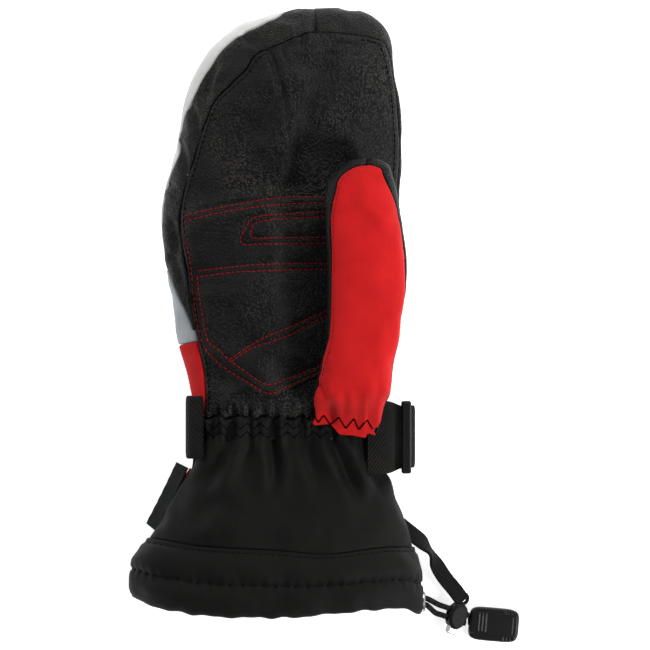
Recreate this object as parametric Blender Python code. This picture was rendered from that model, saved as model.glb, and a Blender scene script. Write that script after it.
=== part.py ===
"""Insulated ski mitten for the right hand, lying on the back of the hand.

Metres, +Z up, palm upwards, fingertips along +Y, thumb side along +X.
The hand and the cuff are one tapering tube. Its shape is a list of stations, and every
panel and inner layer is a patch of that tube, a set depth below its outer surface.
"""
import math

import bmesh
import bpy
import numpy as np
from mathutils import Matrix, Vector

MM = 0.001

# ---- driving dimensions, in millimetres -------------------------------------------------
TIP_Y = 160.6
THUMB_TIP_Y = 79.3
GAP = 0.4

# Depth below the fingertip, left edge, right edge, lowest, widest and highest level.
HAND_STATIONS = (
    (0.0, 19.4, 19.4, 19.0, 19.0, 19.0),
    (5.2, -3.2, 48.8, 9.5, 18.5, 28.0),
    (11.5, -20.0, 55.7, 5.5, 18.0, 32.0),
    (17.8, -28.9, 58.8, 3.5, 18.0, 34.5),
    (30.4, -39.4, 60.9, 1.0, 17.5, 38.0),
    (43.0, -45.2, 63.0, 0.0, 17.0, 39.6),
    (74.5, -53.0, 65.1, 0.0, 17.0, 40.5),
    (112.3, -60.9, 63.0, 0.0, 17.0, 40.5),
    (150.0, -56.7, 61.0, 0.0, 17.0, 40.5),
    (178.0, -52.0, 59.5, 2.5, 18.0, 40.3),
    (198.0, -46.5, 57.5, 9.0, 21.0, 40.0),
    (208.0, -44.5, 56.0, 10.2, 23.0, 39.8),
    (222.0, -43.0, 54.5, 10.6, 23.5, 39.8),
    (240.0, -44.8, 55.5, 10.0, 22.0, 40.2),
    (254.0, -53.5, 61.0, 4.5, 18.0, 41.5),
    (272.0, -62.0, 68.5, 1.0, 16.5, 43.5),
    (288.7, -72.0, 73.0, 0.0, 16.0, 45.0),
    (301.3, -77.0, 75.4, 0.0, 16.0, 46.0),
    (321.0, -77.0, 75.6, 0.0, 16.0, 46.0),
)
# The same six numbers for the thumb, measured from the thumb's tip.
THUMB_STATIONS = (
    (0.0, 46.0, 46.0, 57.0, 57.0, 57.0),
    (4.3, 33.0, 57.5, 49.5, 57.0, 64.5),
    (13.0, 25.9, 60.0, 45.0, 57.0, 68.0),
    (29.0, 24.2, 63.0, 43.6, 56.5, 70.0),
    (60.0, 25.0, 66.0, 43.5, 56.5, 70.3),
    (91.0, 25.2, 63.5, 43.5, 56.5, 69.8),
    (107.0, 22.2, 60.5, 43.5, 56.0, 69.3),
    (127.0, 18.9, 57.0, 43.5, 54.5, 66.5),
    (139.0, 20.0, 52.5, 43.5, 52.5, 61.0),
    (145.0, 25.0, 46.0, 43.9, 49.5, 54.0),
)
ROUND_TOP = (2.6, 1.9)
ROUND_BOTTOM = (2.3, 2.0)
HAND_FLAT = 0.35
THUMB_FLAT = 0.5

# How far the palm seam lies inside the outline: depth below the fingertip, left, right.
PALM_SEAM = ((0, 14.6, 14.6), (12, 17.5, 9.0), (20, 20.5, 3.0), (32, 19.0, 1.2), (48, 13.5, 1.0),
             (75, 10.3, 1.0), (110, 9.5, 1.0), (150, 10.5, 1.0), (182, 10.0, 1.0), (217, 5.0, 1.0))
# Where the back panels begin: insets on the palm side are positive, under the edge negative.
BACK_SEAM = ((0, -1.5, -3.0), (20, 3.0, -4.0), (40, 4.0, -4.0), (60, 0.0, -4.0), (135, 0.0, -4.0),
             (150, 3.0, -4.0), (172, 8.3, -4.0), (217, 8.3, -4.0))

SHELL = (0.0, 1.3)
HEEL_PATCH = (-1.5, -0.5)
GAUNTLET_SHELL = (0.0, 1.1)
HEM_SHELL = (0.0, 1.2)
ELASTIC = (1.7, 2.5)
MEMBRANE = (2.3, 2.7)
INSULATION = (3.1, 6.5)
LINING = (7.1, 7.8)
WRIST_LINING = (3.4, 4.1)
GAUNTLET_LINING = (2.0, 2.7)
HEM_FACING = (5.6, 6.5)
THUMB_SHELL = (0.0, 1.2)
THUMB_MEMBRANE = (1.8, 2.2)
THUMB_INSULATION = (2.8, 4.8)
THUMB_LINING = (5.4, 6.1)

FINGER_ROWS = [0.7 * k * k for k in range(1, 8)]
HEEL_TOP = 104.0
BROAD_DEPTH = 43.0
GUSSET_SPLIT = 0.35
GUSSET_END = 170.0
WHITE_END = 138.0
BAND_END = 178.0
WRIST_SEAM = 216.0
HEM_SEAM = 282.0
MOUTH = 321.0

THUMB_PIVOT = (38.0, -28.0)
THUMB_HOLE_R = 11.0

STRAP_Y = -65.5
STRAP_WIDTH = 30.0
STRAP_THICK = 1.4
RING_X = 67.2
BAR_Z = 9.2
CENTRE_BAR_Z = 21.0
RING_HIGH_Z = 31.0
WRAP_R = 4.3

EYELET = (75.6, -152.25, 14.5)
CORD_D = 3.0
LOCK_CENTRE = Vector((94.0, -160.0, 6.4))
LOCK_DIRECTION = Vector((0.88, -0.33, -0.34)).normalized()

# ---- colours ------------------------------------------------------------------------------
LOOKS = {
    "leather_black": ((0.012, 0.011, 0.012), 0.45, 0.0),
    "softshell_black": ((0.010, 0.009, 0.008), 0.80, 0.0),
    "softshell_red": ((0.58, 0.012, 0.014), 0.70, 0.0),
    "softshell_white": ((0.75, 0.75, 0.73), 0.70, 0.0),
    "reflective_grey": ((0.50, 0.56, 0.64), 0.40, 0.0),
    "webbing_black": ((0.012, 0.011, 0.010), 0.75, 0.0),
    "plastic_black": ((0.015, 0.015, 0.016), 0.35, 0.0),
    "clear_plastic": ((0.72, 0.72, 0.70), 0.20, 0.0),
    "rubber_black": ((0.020, 0.020, 0.020), 0.55, 0.0),
    "cord_black": ((0.010, 0.010, 0.010), 0.80, 0.0),
    "membrane_white": ((0.70, 0.72, 0.74), 0.60, 0.0),
    "insulation_grey": ((0.55, 0.55, 0.53), 0.90, 0.0),
    "lining_black": ((0.030, 0.030, 0.032), 0.90, 0.0),
    "hook_tape_black": ((0.018, 0.018, 0.018), 0.85, 0.0),
    "label_black": ((0.020, 0.030, 0.032), 0.60, 0.0),
    "piping_red": ((0.45, 0.020, 0.022), 0.60, 0.0),
    "eyelet_steel": ((0.45, 0.44, 0.43), 0.30, 1.0),
    "spring_steel": ((0.60, 0.60, 0.60), 0.30, 1.0),
}


def clear_scene():
    for item in list(bpy.data.objects):
        bpy.data.objects.remove(item, do_unlink=True)


def material(name):
    found = bpy.data.materials.get(name)
    if found:
        return found
    colour, roughness, metallic = LOOKS[name]
    made = bpy.data.materials.new(name)
    made.use_nodes = True
    shader = made.node_tree.nodes["Principled BSDF"]
    shader.inputs["Base Color"].default_value = (*colour, 1.0)
    shader.inputs["Roughness"].default_value = roughness
    shader.inputs["Metallic"].default_value = metallic
    return made


def object_from_bmesh(name, mesh_data, look):
    """Turn a bmesh in millimetres into a named object in metres."""
    bmesh.ops.scale(mesh_data, vec=(MM, MM, MM), verts=mesh_data.verts)
    if mesh_data.calc_volume(signed=True) < 0:
        bmesh.ops.reverse_faces(mesh_data, faces=mesh_data.faces)
    mesh = bpy.data.meshes.new(name)
    mesh_data.to_mesh(mesh)
    mesh_data.free()
    mesh.materials.append(material(look))
    made = bpy.data.objects.new(name, mesh)
    bpy.context.scene.collection.objects.link(made)
    mesh.shade_smooth()
    mesh.set_sharp_from_angle(angle=math.radians(40))
    return made


def set_origin(item, point_mm):
    """Move an object's origin onto a joint's axis, leaving the shape where it is."""
    offset = Vector(point_mm) * MM
    item.data.transform(Matrix.Translation(-offset))
    item.location = offset


# ---- the tapering tube ----------------------------------------------------------------------
def smooth(xs, ys, at):
    """Monotone cubic interpolation, which never overshoots its points."""
    xs = np.asarray(xs, float)
    ys = np.asarray(ys, float)
    steps = np.diff(xs)
    slopes = np.diff(ys) / steps
    tangents = np.zeros(len(xs))
    tangents[0] = slopes[0]
    tangents[-1] = slopes[-1]
    for i in range(1, len(xs) - 1):
        if slopes[i - 1] * slopes[i] > 0:
            near = 2 * steps[i] + steps[i - 1]
            far = steps[i] + 2 * steps[i - 1]
            tangents[i] = (near + far) / (near / slopes[i - 1] + far / slopes[i])
    at = min(max(at, xs[0]), xs[-1])
    i = min(int(np.searchsorted(xs, at, side="right")) - 1, len(steps) - 1)
    t = (at - xs[i]) / steps[i]
    rise = ys[i] * (1 + 2 * t) * (1 - t) ** 2 + ys[i + 1] * t * t * (3 - 2 * t)
    return rise + steps[i] * (tangents[i] * t * (1 - t) ** 2 - tangents[i + 1] * t * t * (1 - t))


class Tube:
    """A closed-ended tapering tube along Y, with a domed top and a flat underside."""

    def __init__(self, stations, tip_y, flat, halves):
        table = np.array(stations, float)
        self.keys = np.sqrt(table[:, 0])
        self.table = table[:, 1:]
        self.tip_y = tip_y
        self.flat = flat
        self.halves = halves

    def section(self, depth):
        key = math.sqrt(max(depth, 0.0))
        return [smooth(self.keys, self.table[:, column], key) for column in range(5)]

    def height(self, x, depth, top):
        """Level of the upper or the lower surface over a point of the plan."""
        left, right, low, wide, high = self.section(depth)
        half = max((right - left) / 2, 1e-6)
        across = min(abs(x - (left + right) / 2) / half, 1.0)
        if top:
            power, root = ROUND_TOP
            return wide + (high - wide) * (1 - across ** power) ** (1 / root)
        power, root = ROUND_BOTTOM
        across = max(0.0, (across - self.flat) / (1 - self.flat))
        return wide - (wide - low) * (1 - across ** power) ** (1 / root)

    def fullness(self, point):
        """1 on the surface, less inside and more outside."""
        x, y, z = point
        left, right, low, wide, high = self.section(self.tip_y - y)
        across = abs(x - (left + right) / 2) / max((right - left) / 2, 1e-6)
        if z >= wide:
            power, root = ROUND_TOP
            return across ** power + ((z - wide) / max(high - wide, 1e-6)) ** root
        power, root = ROUND_BOTTOM
        across = max(0.0, (across - self.flat) / (1 - self.flat))
        return across ** power + ((wide - z) / max(wide - low, 1e-6)) ** root

    def normal(self, point):
        step = 0.05
        base = self.fullness(point)
        slope = Vector()
        for axis in range(3):
            moved = list(point)
            direction = -1.0 if axis == 1 else 1.0
            moved[axis] += direction * step
            slope[axis] = direction * (self.fullness(moved) - base)
        return slope.normalized()

    def outline(self, depth, side):
        """Plan point on the left (-1) or right (+1) edge, and the way out from it."""
        column = 0 if side < 0 else 1
        x = self.section(depth)[column]
        step = 0.02 * max(depth, 0.5)
        beyond = self.section(depth + step)[column]
        before = self.section(max(depth - step, 0.0))[column]
        along = Vector((beyond - before, -(depth + step - max(depth - step, 0.0)), 0.0))
        out = Vector((-along.y, along.x, 0.0)).normalized() * side
        return Vector((x, self.tip_y - depth, 0.0)), out

    def at_inset(self, depth, side, inset, square=False):
        """Surface point a given way inside the outline: above it if positive, under it if not.

        The way in is at right angles to the outline, or with square along X.
        """
        edge, out = self.outline(depth, side)
        if square:
            out = Vector((side, 0.0, 0.0))
        plan = edge - out * abs(inset)
        down = max(self.tip_y - plan.y, 0.02)
        point = Vector((plan.x, self.tip_y - down, self.height(plan.x, down, inset >= 0)))
        if abs(inset) < 1e-6:
            point.z = self.section(depth)[3]
        return point

    def ring(self, depth, columns, inset=0.0, tip_inset=0.0):
        """Points right round the tube at one depth: over the top, then under it.

        An inset makes the section smaller all round, in proportion near the tip. The tip
        inset moves the rounded end of the layer back from the tip.
        """
        left, right, low, wide, high = self.section(depth)
        centre = (left + right) / 2
        sizes = [(right - left) / 2, wide - low, high - wide]
        if depth < BROAD_DEPTH:
            sizes = [size * (1 - inset / full) for size, full in zip(sizes, self.halves)]
        else:
            sizes = [size - inset for size in sizes]
        half, low, high = sizes[0], wide - sizes[1], wide + sizes[2]
        y = self.tip_y - depth - tip_inset * max(0.0, 1.0 - depth / BROAD_DEPTH)
        points = []
        for k in range(columns):
            turn = 2 * math.pi * k / columns
            cos, sin = math.cos(turn), math.sin(turn)
            if sin >= 0:
                power, root = ROUND_TOP
                across = abs(cos) ** (2 / power)
                z = wide + (high - wide) * sin ** (2 / root)
            else:
                power, root = ROUND_BOTTOM
                across = self.flat + (1 - self.flat) * abs(cos) ** (2 / power)
                across *= 1 if abs(cos) > 1e-9 else 0
                z = wide - (wide - low) * (-sin) ** (2 / root)
            points.append(Vector((centre + math.copysign(across, cos) * half, y, z)))
        return points


HAND = Tube(HAND_STATIONS, TIP_Y, HAND_FLAT, (54.0, 17.0, 22.7))
THUMB = Tube(THUMB_STATIONS, THUMB_TIP_Y, THUMB_FLAT, (19.8, 13.0, 13.7))


def seam_inset(table, depth, side):
    column = 1 if side < 0 else 2
    return smooth([row[0] for row in table], [row[column] for row in table], depth)


# ---- solids from grids -----------------------------------------------------------------------
def pushed(tube, point, depth):
    return point - tube.normal(point) * depth


def sheet_solid(name, tube, grid, depths, look, closed_round=False):
    """A patch of the tube between two depths: outer grid, inner grid and the edges between."""
    rows = len(grid)
    columns = len(grid[0])
    work = bmesh.new()
    outer, inner = ([[work.verts.new(pushed(tube, point, depth)) for point in row] for row in grid]
                    for depth in depths)
    last = columns if closed_round else columns - 1
    for r in range(rows - 1):
        for c in range(last):
            d = (c + 1) % columns
            work.faces.new((outer[r][c], outer[r][d], outer[r + 1][d], outer[r + 1][c]))
            work.faces.new((inner[r][c], inner[r + 1][c], inner[r + 1][d], inner[r][d]))
    for c in range(last):
        d = (c + 1) % columns
        work.faces.new((outer[0][c], inner[0][c], inner[0][d], outer[0][d]))
        work.faces.new((outer[-1][c], outer[-1][d], inner[-1][d], inner[-1][c]))
    if not closed_round:
        for r in range(rows - 1):
            work.faces.new((outer[r][0], outer[r + 1][0], inner[r + 1][0], inner[r][0]))
            work.faces.new((outer[r][-1], inner[r][-1], inner[r + 1][-1], outer[r + 1][-1]))
    return object_from_bmesh(name, work, look)


def sock_solid(name, tube, rows, insets, look, columns=16, tail=False):
    """A layer closed over the tip, and at its other end open or, with tail, closed too.

    insets gives, for a depth, how far the layer's outer and inner faces lie under the tube.
    """
    work = bmesh.new()
    shells = []
    for face in (0, 1):
        tip_inset = insets(0.0)[face]
        rings = [tube.ring(depth, columns, insets(depth)[face], tip_inset) for depth in rows]
        if tail:
            rings[-1] = [point + Vector((0.0, tip_inset, 0.0)) for point in rings[-1]]
        shell = [[work.verts.new(point) for point in ring] for ring in rings]
        left, right, low, wide, high = tube.section(0.0)
        pole = work.verts.new((left, tube.tip_y - tip_inset, wide))
        loops = []
        for r in range(len(shell) - 1):
            for c in range(columns):
                d = (c + 1) % columns
                loops.append((shell[r][c], shell[r][d], shell[r + 1][d], shell[r + 1][c]))
        for c in range(columns):
            d = (c + 1) % columns
            loops.append((pole, shell[0][d], shell[0][c]))
        if tail:
            loops.append(tuple(shell[-1]))
        for loop in loops:
            work.faces.new(loop if face == 0 else loop[::-1])
        shells.append(shell)
    if not tail:
        outer, inner = shells
        for c in range(columns):
            d = (c + 1) % columns
            work.faces.new((outer[-1][c], outer[-1][d], inner[-1][d], inner[-1][c]))
    return object_from_bmesh(name, work, look)


def constant(insets):
    return lambda depth: insets


def spread(start, stop, count):
    return [start + (stop - start) * k / (count - 1) for k in range(count)]


def rows_between(start, stop, pitch=15.0):
    """Depths from start to stop: close together near the fingertip, then evenly spaced."""
    near = [d for d in FINGER_ROWS if start + 1.0 < d < stop - 1.0]
    first = max(near[-1] if near else start, start)
    count = max(2, int(round((stop - first) / pitch)) + 1)
    even = spread(first, stop, count)
    rows = [start] + near + even[1:]
    return sorted(set(rows))


def signed_square(value):
    return value * abs(value)


def round_the_edge(tube, depth, side, start, stop, columns, square=False):
    """A row of points across an edge of the tube, from one inset to another."""
    first = math.copysign(math.sqrt(abs(start)), start)
    last = math.copysign(math.sqrt(abs(stop)), stop)
    return [tube.at_inset(depth, side, signed_square(g), square) for g in spread(first, last, columns)]


def face_row(tube, depth, insets, top, columns, square=False):
    """A row over the palm or under the back, closer together towards its two ends."""
    left = tube.at_inset(depth, -1, insets[0], square)
    right = tube.at_inset(depth, 1, insets[1], square)
    row = []
    for share in spread(0.0, 1.0, columns):
        plan = left.lerp(right, (1 - math.cos(math.pi * share)) / 2)
        row.append(Vector((plan.x, plan.y, tube.height(plan.x, tube.tip_y - plan.y, top))))
    row[0], row[-1] = left, right
    return row


def back_row(tube, depth, insets, columns, square=False):
    """A row that starts on the palm side of the left edge and runs round it, under the back."""
    under = min(insets[0], 0.0) - 0.5
    lead_in = round_the_edge(tube, depth, -1, insets[0], under, 4, square)
    return lead_in + face_row(tube, depth, (under, insets[1]), False, columns, square)[1:]


# ---- the hand ------------------------------------------------------------------------------------
def palm_insets(depth, margin=GAP / 2):
    return seam_inset(PALM_SEAM, depth, -1) + margin, seam_inset(PALM_SEAM, depth, 1) + margin


def back_inset(depth, side, margin=GAP / 2):
    return seam_inset(BACK_SEAM, depth, side) - margin


def make_palm():
    rows = [face_row(HAND, depth, palm_insets(depth), True, 11)
            for depth in rows_between(0.7, WRIST_SEAM - GAP)]
    sheet_solid("palm_panel", HAND, rows, SHELL, "leather_black")
    rows = []
    for depth in rows_between(HEEL_TOP, WRIST_SEAM - GAP):
        left, right = palm_insets(depth, 1.2)
        rows.append(face_row(HAND, depth, (left, right + 4.0), True, 9))
    sheet_solid("palm_heel_patch", HAND, rows, HEEL_PATCH, "leather_black")


def gusset_row(depth, side):
    start = seam_inset(PALM_SEAM, depth, side) - GAP / 2
    return round_the_edge(HAND, depth, side, start, back_inset(depth, side, -GAP), 5)


def make_gussets():
    """The leather strip round the edge, in two lengths that meet just past the fingertip."""
    for name, side, stop in (("pinky_side_gusset", -1, GUSSET_END),
                             ("index_side_gusset", 1, WRIST_SEAM - GAP)):
        rows = [gusset_row(depth, side) for depth in rows_between(GUSSET_SPLIT, stop)]
        sheet_solid(name, HAND, rows, SHELL, "leather_black")


def make_back():
    bands = (
        ("back_finger_panel", 0.7, WHITE_END, "softshell_white"),
        ("back_reflective_panel", WHITE_END + GAP, BAND_END, "reflective_grey"),
        ("back_wrist_panel", BAND_END + GAP, WRIST_SEAM - GAP, "softshell_red"),
    )
    for name, start, stop, look in bands:
        rows = []
        for depth in rows_between(start, stop):
            left = back_inset(depth, -1)
            if depth > GUSSET_END:
                left = seam_inset(PALM_SEAM, depth, -1) - GAP / 2
            rows.append(back_row(HAND, depth, (left, back_inset(depth, 1)), 12))
        sheet_solid(name, HAND, rows, SHELL, look)


def lining_insets(depth):
    """The lining lies closer to the shell at the wrist, where the insulation has ended."""
    share = min(max((depth - 200.0) / 16.0, 0.0), 1.0)
    ease = share * share * (3 - 2 * share)
    return tuple(a + (b - a) * ease for a, b in zip(LINING, WRIST_LINING))


def make_hand_layers(cutter):
    coarse = [0.7, 2.8, 6.3, 11.2, 18.0, 29.0, 43.0, 62.0, 86.0, 112.0, 145.0, 170.0, 190.0]
    layers = (
        ("hand_membrane", coarse + [202.0, 212.0], constant(MEMBRANE), "membrane_white"),
        ("hand_insulation", coarse + [200.0], constant(INSULATION), "insulation_grey"),
        ("hand_lining", coarse + [200.0, 208.0, 216.0, 227.0], lining_insets, "lining_black"),
    )
    for name, rows, insets, look in layers:
        cut(sock_solid(name, HAND, rows, insets, look, 16), cutter)


# ---- the cuff -------------------------------------------------------------------------------------
def band_rows(start, stop, columns, count):
    return [HAND.ring(depth, columns) for depth in spread(start, stop, count)]


def make_gauntlet():
    palm_rows = []
    back_rows = []
    for depth in spread(WRIST_SEAM + GAP, HEM_SEAM - GAP, 7):
        palm_rows.append(face_row(HAND, depth, (0.4, 0.4), True, 13, square=True))
        back_rows.append(face_row(HAND, depth, (-0.4, -0.4), False, 13, square=True))
    sheet_solid("gauntlet_palm_panel", HAND, palm_rows, GAUNTLET_SHELL, "softshell_black")
    sheet_solid("gauntlet_back_panel", HAND, back_rows, GAUNTLET_SHELL, "softshell_black")
    sheet_solid("gauntlet_lining", HAND, band_rows(241.0, 287.0, 24, 4), GAUNTLET_LINING,
                "lining_black", closed_round=True)
    elastic = [face_row(HAND, depth, (8.0, 8.0), True, 9, square=True) for depth in (218.5, 222.5, 226.5)]
    sheet_solid("wrist_elastic", HAND, elastic, ELASTIC, "webbing_black")


def make_hem(cutter):
    hem = sheet_solid("hem_band", HAND, band_rows(HEM_SEAM, MOUTH, 24, 4), HEM_SHELL,
                      "softshell_black", closed_round=True)
    cut(hem, cutter)
    sheet_solid("hem_facing", HAND, band_rows(288.5, MOUTH, 24, 3), HEM_FACING,
                "softshell_black", closed_round=True)


def make_piping():
    points = []
    for depth in spread(WRIST_SEAM + 27.0, HEM_SEAM - 1.0, 13):
        point = HAND.at_inset(depth, -1, 0.0, square=True)
        points.append(point + HAND.normal(point) * 1.45)
    cord("pinky_seam_piping", points, 2.0, "piping_red")


def make_label():
    """A folded woven label, stitched into the little-finger side seam of the cuff."""
    corners = ((-51.4, -79.6, 20.5), (-66.8, -113.5, 12.5), (-71.3, -110.8, 7.5), (-55.0, -78.0, 13.5))
    work = bmesh.new()
    face_normal = (Vector(corners[1]) - Vector(corners[0])).cross(Vector(corners[3]) - Vector(corners[0]))
    half = face_normal.normalized() * 0.5
    near = [work.verts.new(Vector(corner) + half) for corner in corners]
    far = [work.verts.new(Vector(corner) - half) for corner in corners]
    work.faces.new(near)
    work.faces.new(far[::-1])
    for i in range(4):
        j = (i + 1) % 4
        work.faces.new((near[i], far[i], far[j], near[j]))
    return object_from_bmesh("woven_label", work, "label_black")


# ---- the thumb ------------------------------------------------------------------------------------
THUMB_ROWS = [0.5, 3.0, 8.0, 17.0, 30.0, 50.0, 72.0, 92.0, 110.0, 124.0, 136.0, 144.0]


def make_thumb(cutter):
    """Shell panels and three inner layers, which all turn about the thumb's pivot."""
    back_rows = [face_row(THUMB, depth, (1.2, 0.4), True, 11) for depth in THUMB_ROWS]
    palm_rows = [back_row(THUMB, depth, (0.7, -0.2), 10) for depth in THUMB_ROWS]
    made = [
        sheet_solid("thumb_back_panel", THUMB, back_rows, THUMB_SHELL, "softshell_red"),
        cut(sheet_solid("thumb_palm_panel", THUMB, palm_rows, THUMB_SHELL, "leather_black"), cutter),
    ]
    layers = (
        ("thumb_membrane", THUMB_MEMBRANE, THUMB_ROWS[:-2] + [136.0], "membrane_white"),
        ("thumb_insulation", THUMB_INSULATION, THUMB_ROWS[:-2] + [132.0], "insulation_grey"),
        ("thumb_lining", THUMB_LINING, THUMB_ROWS[:-3] + [128.0], "lining_black"),
    )
    for name, insets, rows, look in layers:
        sock = sock_solid(name, THUMB, rows, constant(insets), look, 16, tail=True)
        made.append(cut(sock, cutter))
    for item in made:
        set_origin(item, (*THUMB_PIVOT, 45.0))


# ---- cutting, cords and webbing ------------------------------------------------------------------
def cylinder_cutter(name, centre, radius, length, axis, segments=16):
    work = bmesh.new()
    turn = Vector((0, 0, 1)).rotation_difference(Vector(axis)).to_matrix().to_4x4()
    bmesh.ops.create_cone(work, cap_ends=True, segments=segments, radius1=radius, radius2=radius,
                          depth=length, matrix=Matrix.Translation(centre) @ turn)
    return as_cutter(object_from_bmesh(name, work, "plastic_black"))


def as_cutter(item):
    item.hide_render = True
    item.display_type = "WIRE"
    return item


def cut(item, cutter):
    boolean = item.modifiers.new("cut", "BOOLEAN")
    boolean.operation = "DIFFERENCE"
    boolean.solver = "EXACT"
    boolean.object = cutter
    return item


def curve_through(route, spacing):
    """Points evenly along a smooth curve through a route's own points."""
    route = [Vector(point) for point in route]
    ends = [route[0] * 2 - route[1]] + route + [route[-1] * 2 - route[-2]]
    dense = []
    for a, b, c, d in zip(ends, ends[1:], ends[2:], ends[3:]):
        for t in spread(0.0, 1.0, 17)[:-1]:
            dense.append(0.5 * (2 * b + (c - a) * t + (2 * a - 5 * b + 4 * c - d) * t * t
                                + (3 * b - a - 3 * c + d) * t ** 3))
    dense.append(route[-1])
    lengths = [0.0]
    for a, b in zip(dense, dense[1:]):
        lengths.append(lengths[-1] + (b - a).length)
    count = max(2, int(round(lengths[-1] / spacing)) + 1)
    picked = []
    for at in spread(0.0, lengths[-1], count):
        i = min(max(int(np.searchsorted(lengths, at)), 1), len(dense) - 1)
        share = (at - lengths[i - 1]) / max(lengths[i] - lengths[i - 1], 1e-9)
        picked.append(dense[i - 1].lerp(dense[i], share))
    return picked


def cord(name, points, diameter, look):
    """A round cord: a curve with a bevel and filled caps."""
    data = bpy.data.curves.new(name, "CURVE")
    data.dimensions = "3D"
    data.resolution_u = 1
    data.render_resolution_u = 0
    data.bevel_depth = diameter / 2 * MM
    data.bevel_resolution = 2
    data.use_fill_caps = True
    spline = data.splines.new("POLY")
    spline.points.add(len(points) - 1)
    for target, point in zip(spline.points, points):
        target.co = (*(Vector(point) * MM), 1.0)
    data.materials.append(material(look))
    made = bpy.data.objects.new(name, data)
    bpy.context.scene.collection.objects.link(made)
    return made


def ribbon(name, path, thickness, width, look, shear=0.0):
    """Webbing that follows a path in the XZ plane, with its width along Y."""
    points = [Vector((x, 0.0, z)) for x, z in path]
    work = bmesh.new()
    rings = []
    for i, point in enumerate(points):
        before = points[max(i - 1, 0)]
        after = points[min(i + 1, len(points) - 1)]
        along = (after - before).normalized()
        across = Vector((-along.z, 0.0, along.x)) * (thickness / 2)
        middle = STRAP_Y + shear * (point.x - RING_X)
        ring = []
        for side, half in ((1, -1), (1, 1), (-1, 1), (-1, -1)):
            offset = across * side
            ring.append(work.verts.new((point.x + offset.x, middle + half * width / 2, point.z + offset.z)))
        rings.append(ring)
    for a, b in zip(rings, rings[1:]):
        for k in range(4):
            m = (k + 1) % 4
            work.faces.new((a[k], a[m], b[m], b[k]))
    work.faces.new(rings[0][::-1])
    work.faces.new(rings[-1])
    return object_from_bmesh(name, work, look)


def arc(centre, radius, start, stop, count):
    x, z = centre
    angles = [math.radians(a) for a in spread(start, stop, count)]
    return [(x + radius * math.cos(a), z + radius * math.sin(a)) for a in angles]


def box(name, low, high, look, bevel=0.0):
    work = bmesh.new()
    size = Vector(high) - Vector(low)
    middle = (Vector(high) + Vector(low)) / 2
    bmesh.ops.create_cube(work, size=1.0, matrix=Matrix.Translation(middle) @ Matrix.Diagonal((*size, 1.0)))
    if bevel:
        bmesh.ops.bevel(work, geom=work.edges[:], offset=bevel, segments=1, profile=0.5, affect="EDGES")
    return object_from_bmesh(name, work, look)


# ---- the wrist strap --------------------------------------------------------------------------------
def make_ring():
    """A moulded frame with a strap bar, a centre bar and an upper edge, in the YZ plane."""
    half_length, half_thick = 19.0, 2.6
    low, high = BAR_Z - 1.6, RING_HIGH_Z + 1.6
    ring = box("strap_ring", (RING_X - half_thick, STRAP_Y - half_length, low),
               (RING_X + half_thick, STRAP_Y + half_length, high), "plastic_black", 0.8)
    windows = ((BAR_Z + 1.6, CENTRE_BAR_Z - 1.3), (CENTRE_BAR_Z + 1.3, RING_HIGH_Z - 1.6))
    for index, (bottom, top) in enumerate(windows):
        hole = box(f"window_cutter_{index}", (RING_X - 9.0, STRAP_Y - 16.0, bottom),
                   (RING_X + 9.0, STRAP_Y + 16.0, top), "plastic_black")
        cut(ring, as_cutter(hole))
    for side in (-1, 1):
        relief = box(f"relief_cutter_{side + 1}", (RING_X + side * 3.4 - 2.1, STRAP_Y - 16.0, BAR_Z - 4.0),
                     (RING_X + side * 3.4 + 2.1, STRAP_Y + 16.0, CENTRE_BAR_Z + 1.4), "plastic_black")
        cut(ring, as_cutter(relief))
    set_origin(ring, (RING_X, STRAP_Y, CENTRE_BAR_Z))


def make_strap():
    bar = (RING_X, BAR_Z)
    run = [(-41.5, 33.0), (-45.0, 31.5), (-47.3, 28.0), (-47.6, 22.0), (-46.6, 15.5), (-43.0, 10.5),
           (-36.0, 7.9), (-20.0, 7.4), (10.0, 7.4), (36.0, 7.4), (48.0, 8.3), (56.0, 10.6), (62.0, 12.9)]
    wrap = arc(bar, WRAP_R, 90.0, -85.0, 9)
    ribbon("wrist_strap", run + wrap, STRAP_THICK, STRAP_WIDTH, "webbing_black")
    ribbon("loop_tape", spread_path((-20.0, 5.95), (45.0, 5.95), 3), 0.9, 24.0, "hook_tape_black")
    tail = ribbon("strap_tail", spread_path((-8.0, 3.15), (RING_X - 0.6, 3.15), 4), 1.3, STRAP_WIDTH,
                  "webbing_black")
    hooks = ribbon("hook_tape", spread_path((-4.0, 4.6), (32.0, 4.6), 3), 0.9, 24.0, "hook_tape_black")
    tab = ribbon("strap_end_tab", spread_path((-20.0, 3.2), (-8.4, 3.2), 3), 1.9, STRAP_WIDTH,
                 "rubber_black")
    for item in (tail, hooks, tab):
        set_origin(item, (RING_X, STRAP_Y, BAR_Z))


def spread_path(start, stop, count):
    return [(start[0] + (stop[0] - start[0]) * k, start[1] + (stop[1] - start[1]) * k)
            for k in spread(0.0, 1.0, count)]


def make_anchor_loop():
    centre = (RING_X, CENTRE_BAR_Z)
    path = [(55.5, 33.6), (59.0, 31.0), (62.0, 27.0), (64.6, 23.6)]
    path += arc(centre, 2.5, 80.0, -80.0, 7)
    path += [(64.6, 18.4), (61.4, 20.4), (58.6, 24.0), (56.6, 27.5)]
    ribbon("strap_anchor_loop", path, 1.1, STRAP_WIDTH, "webbing_black")


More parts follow.
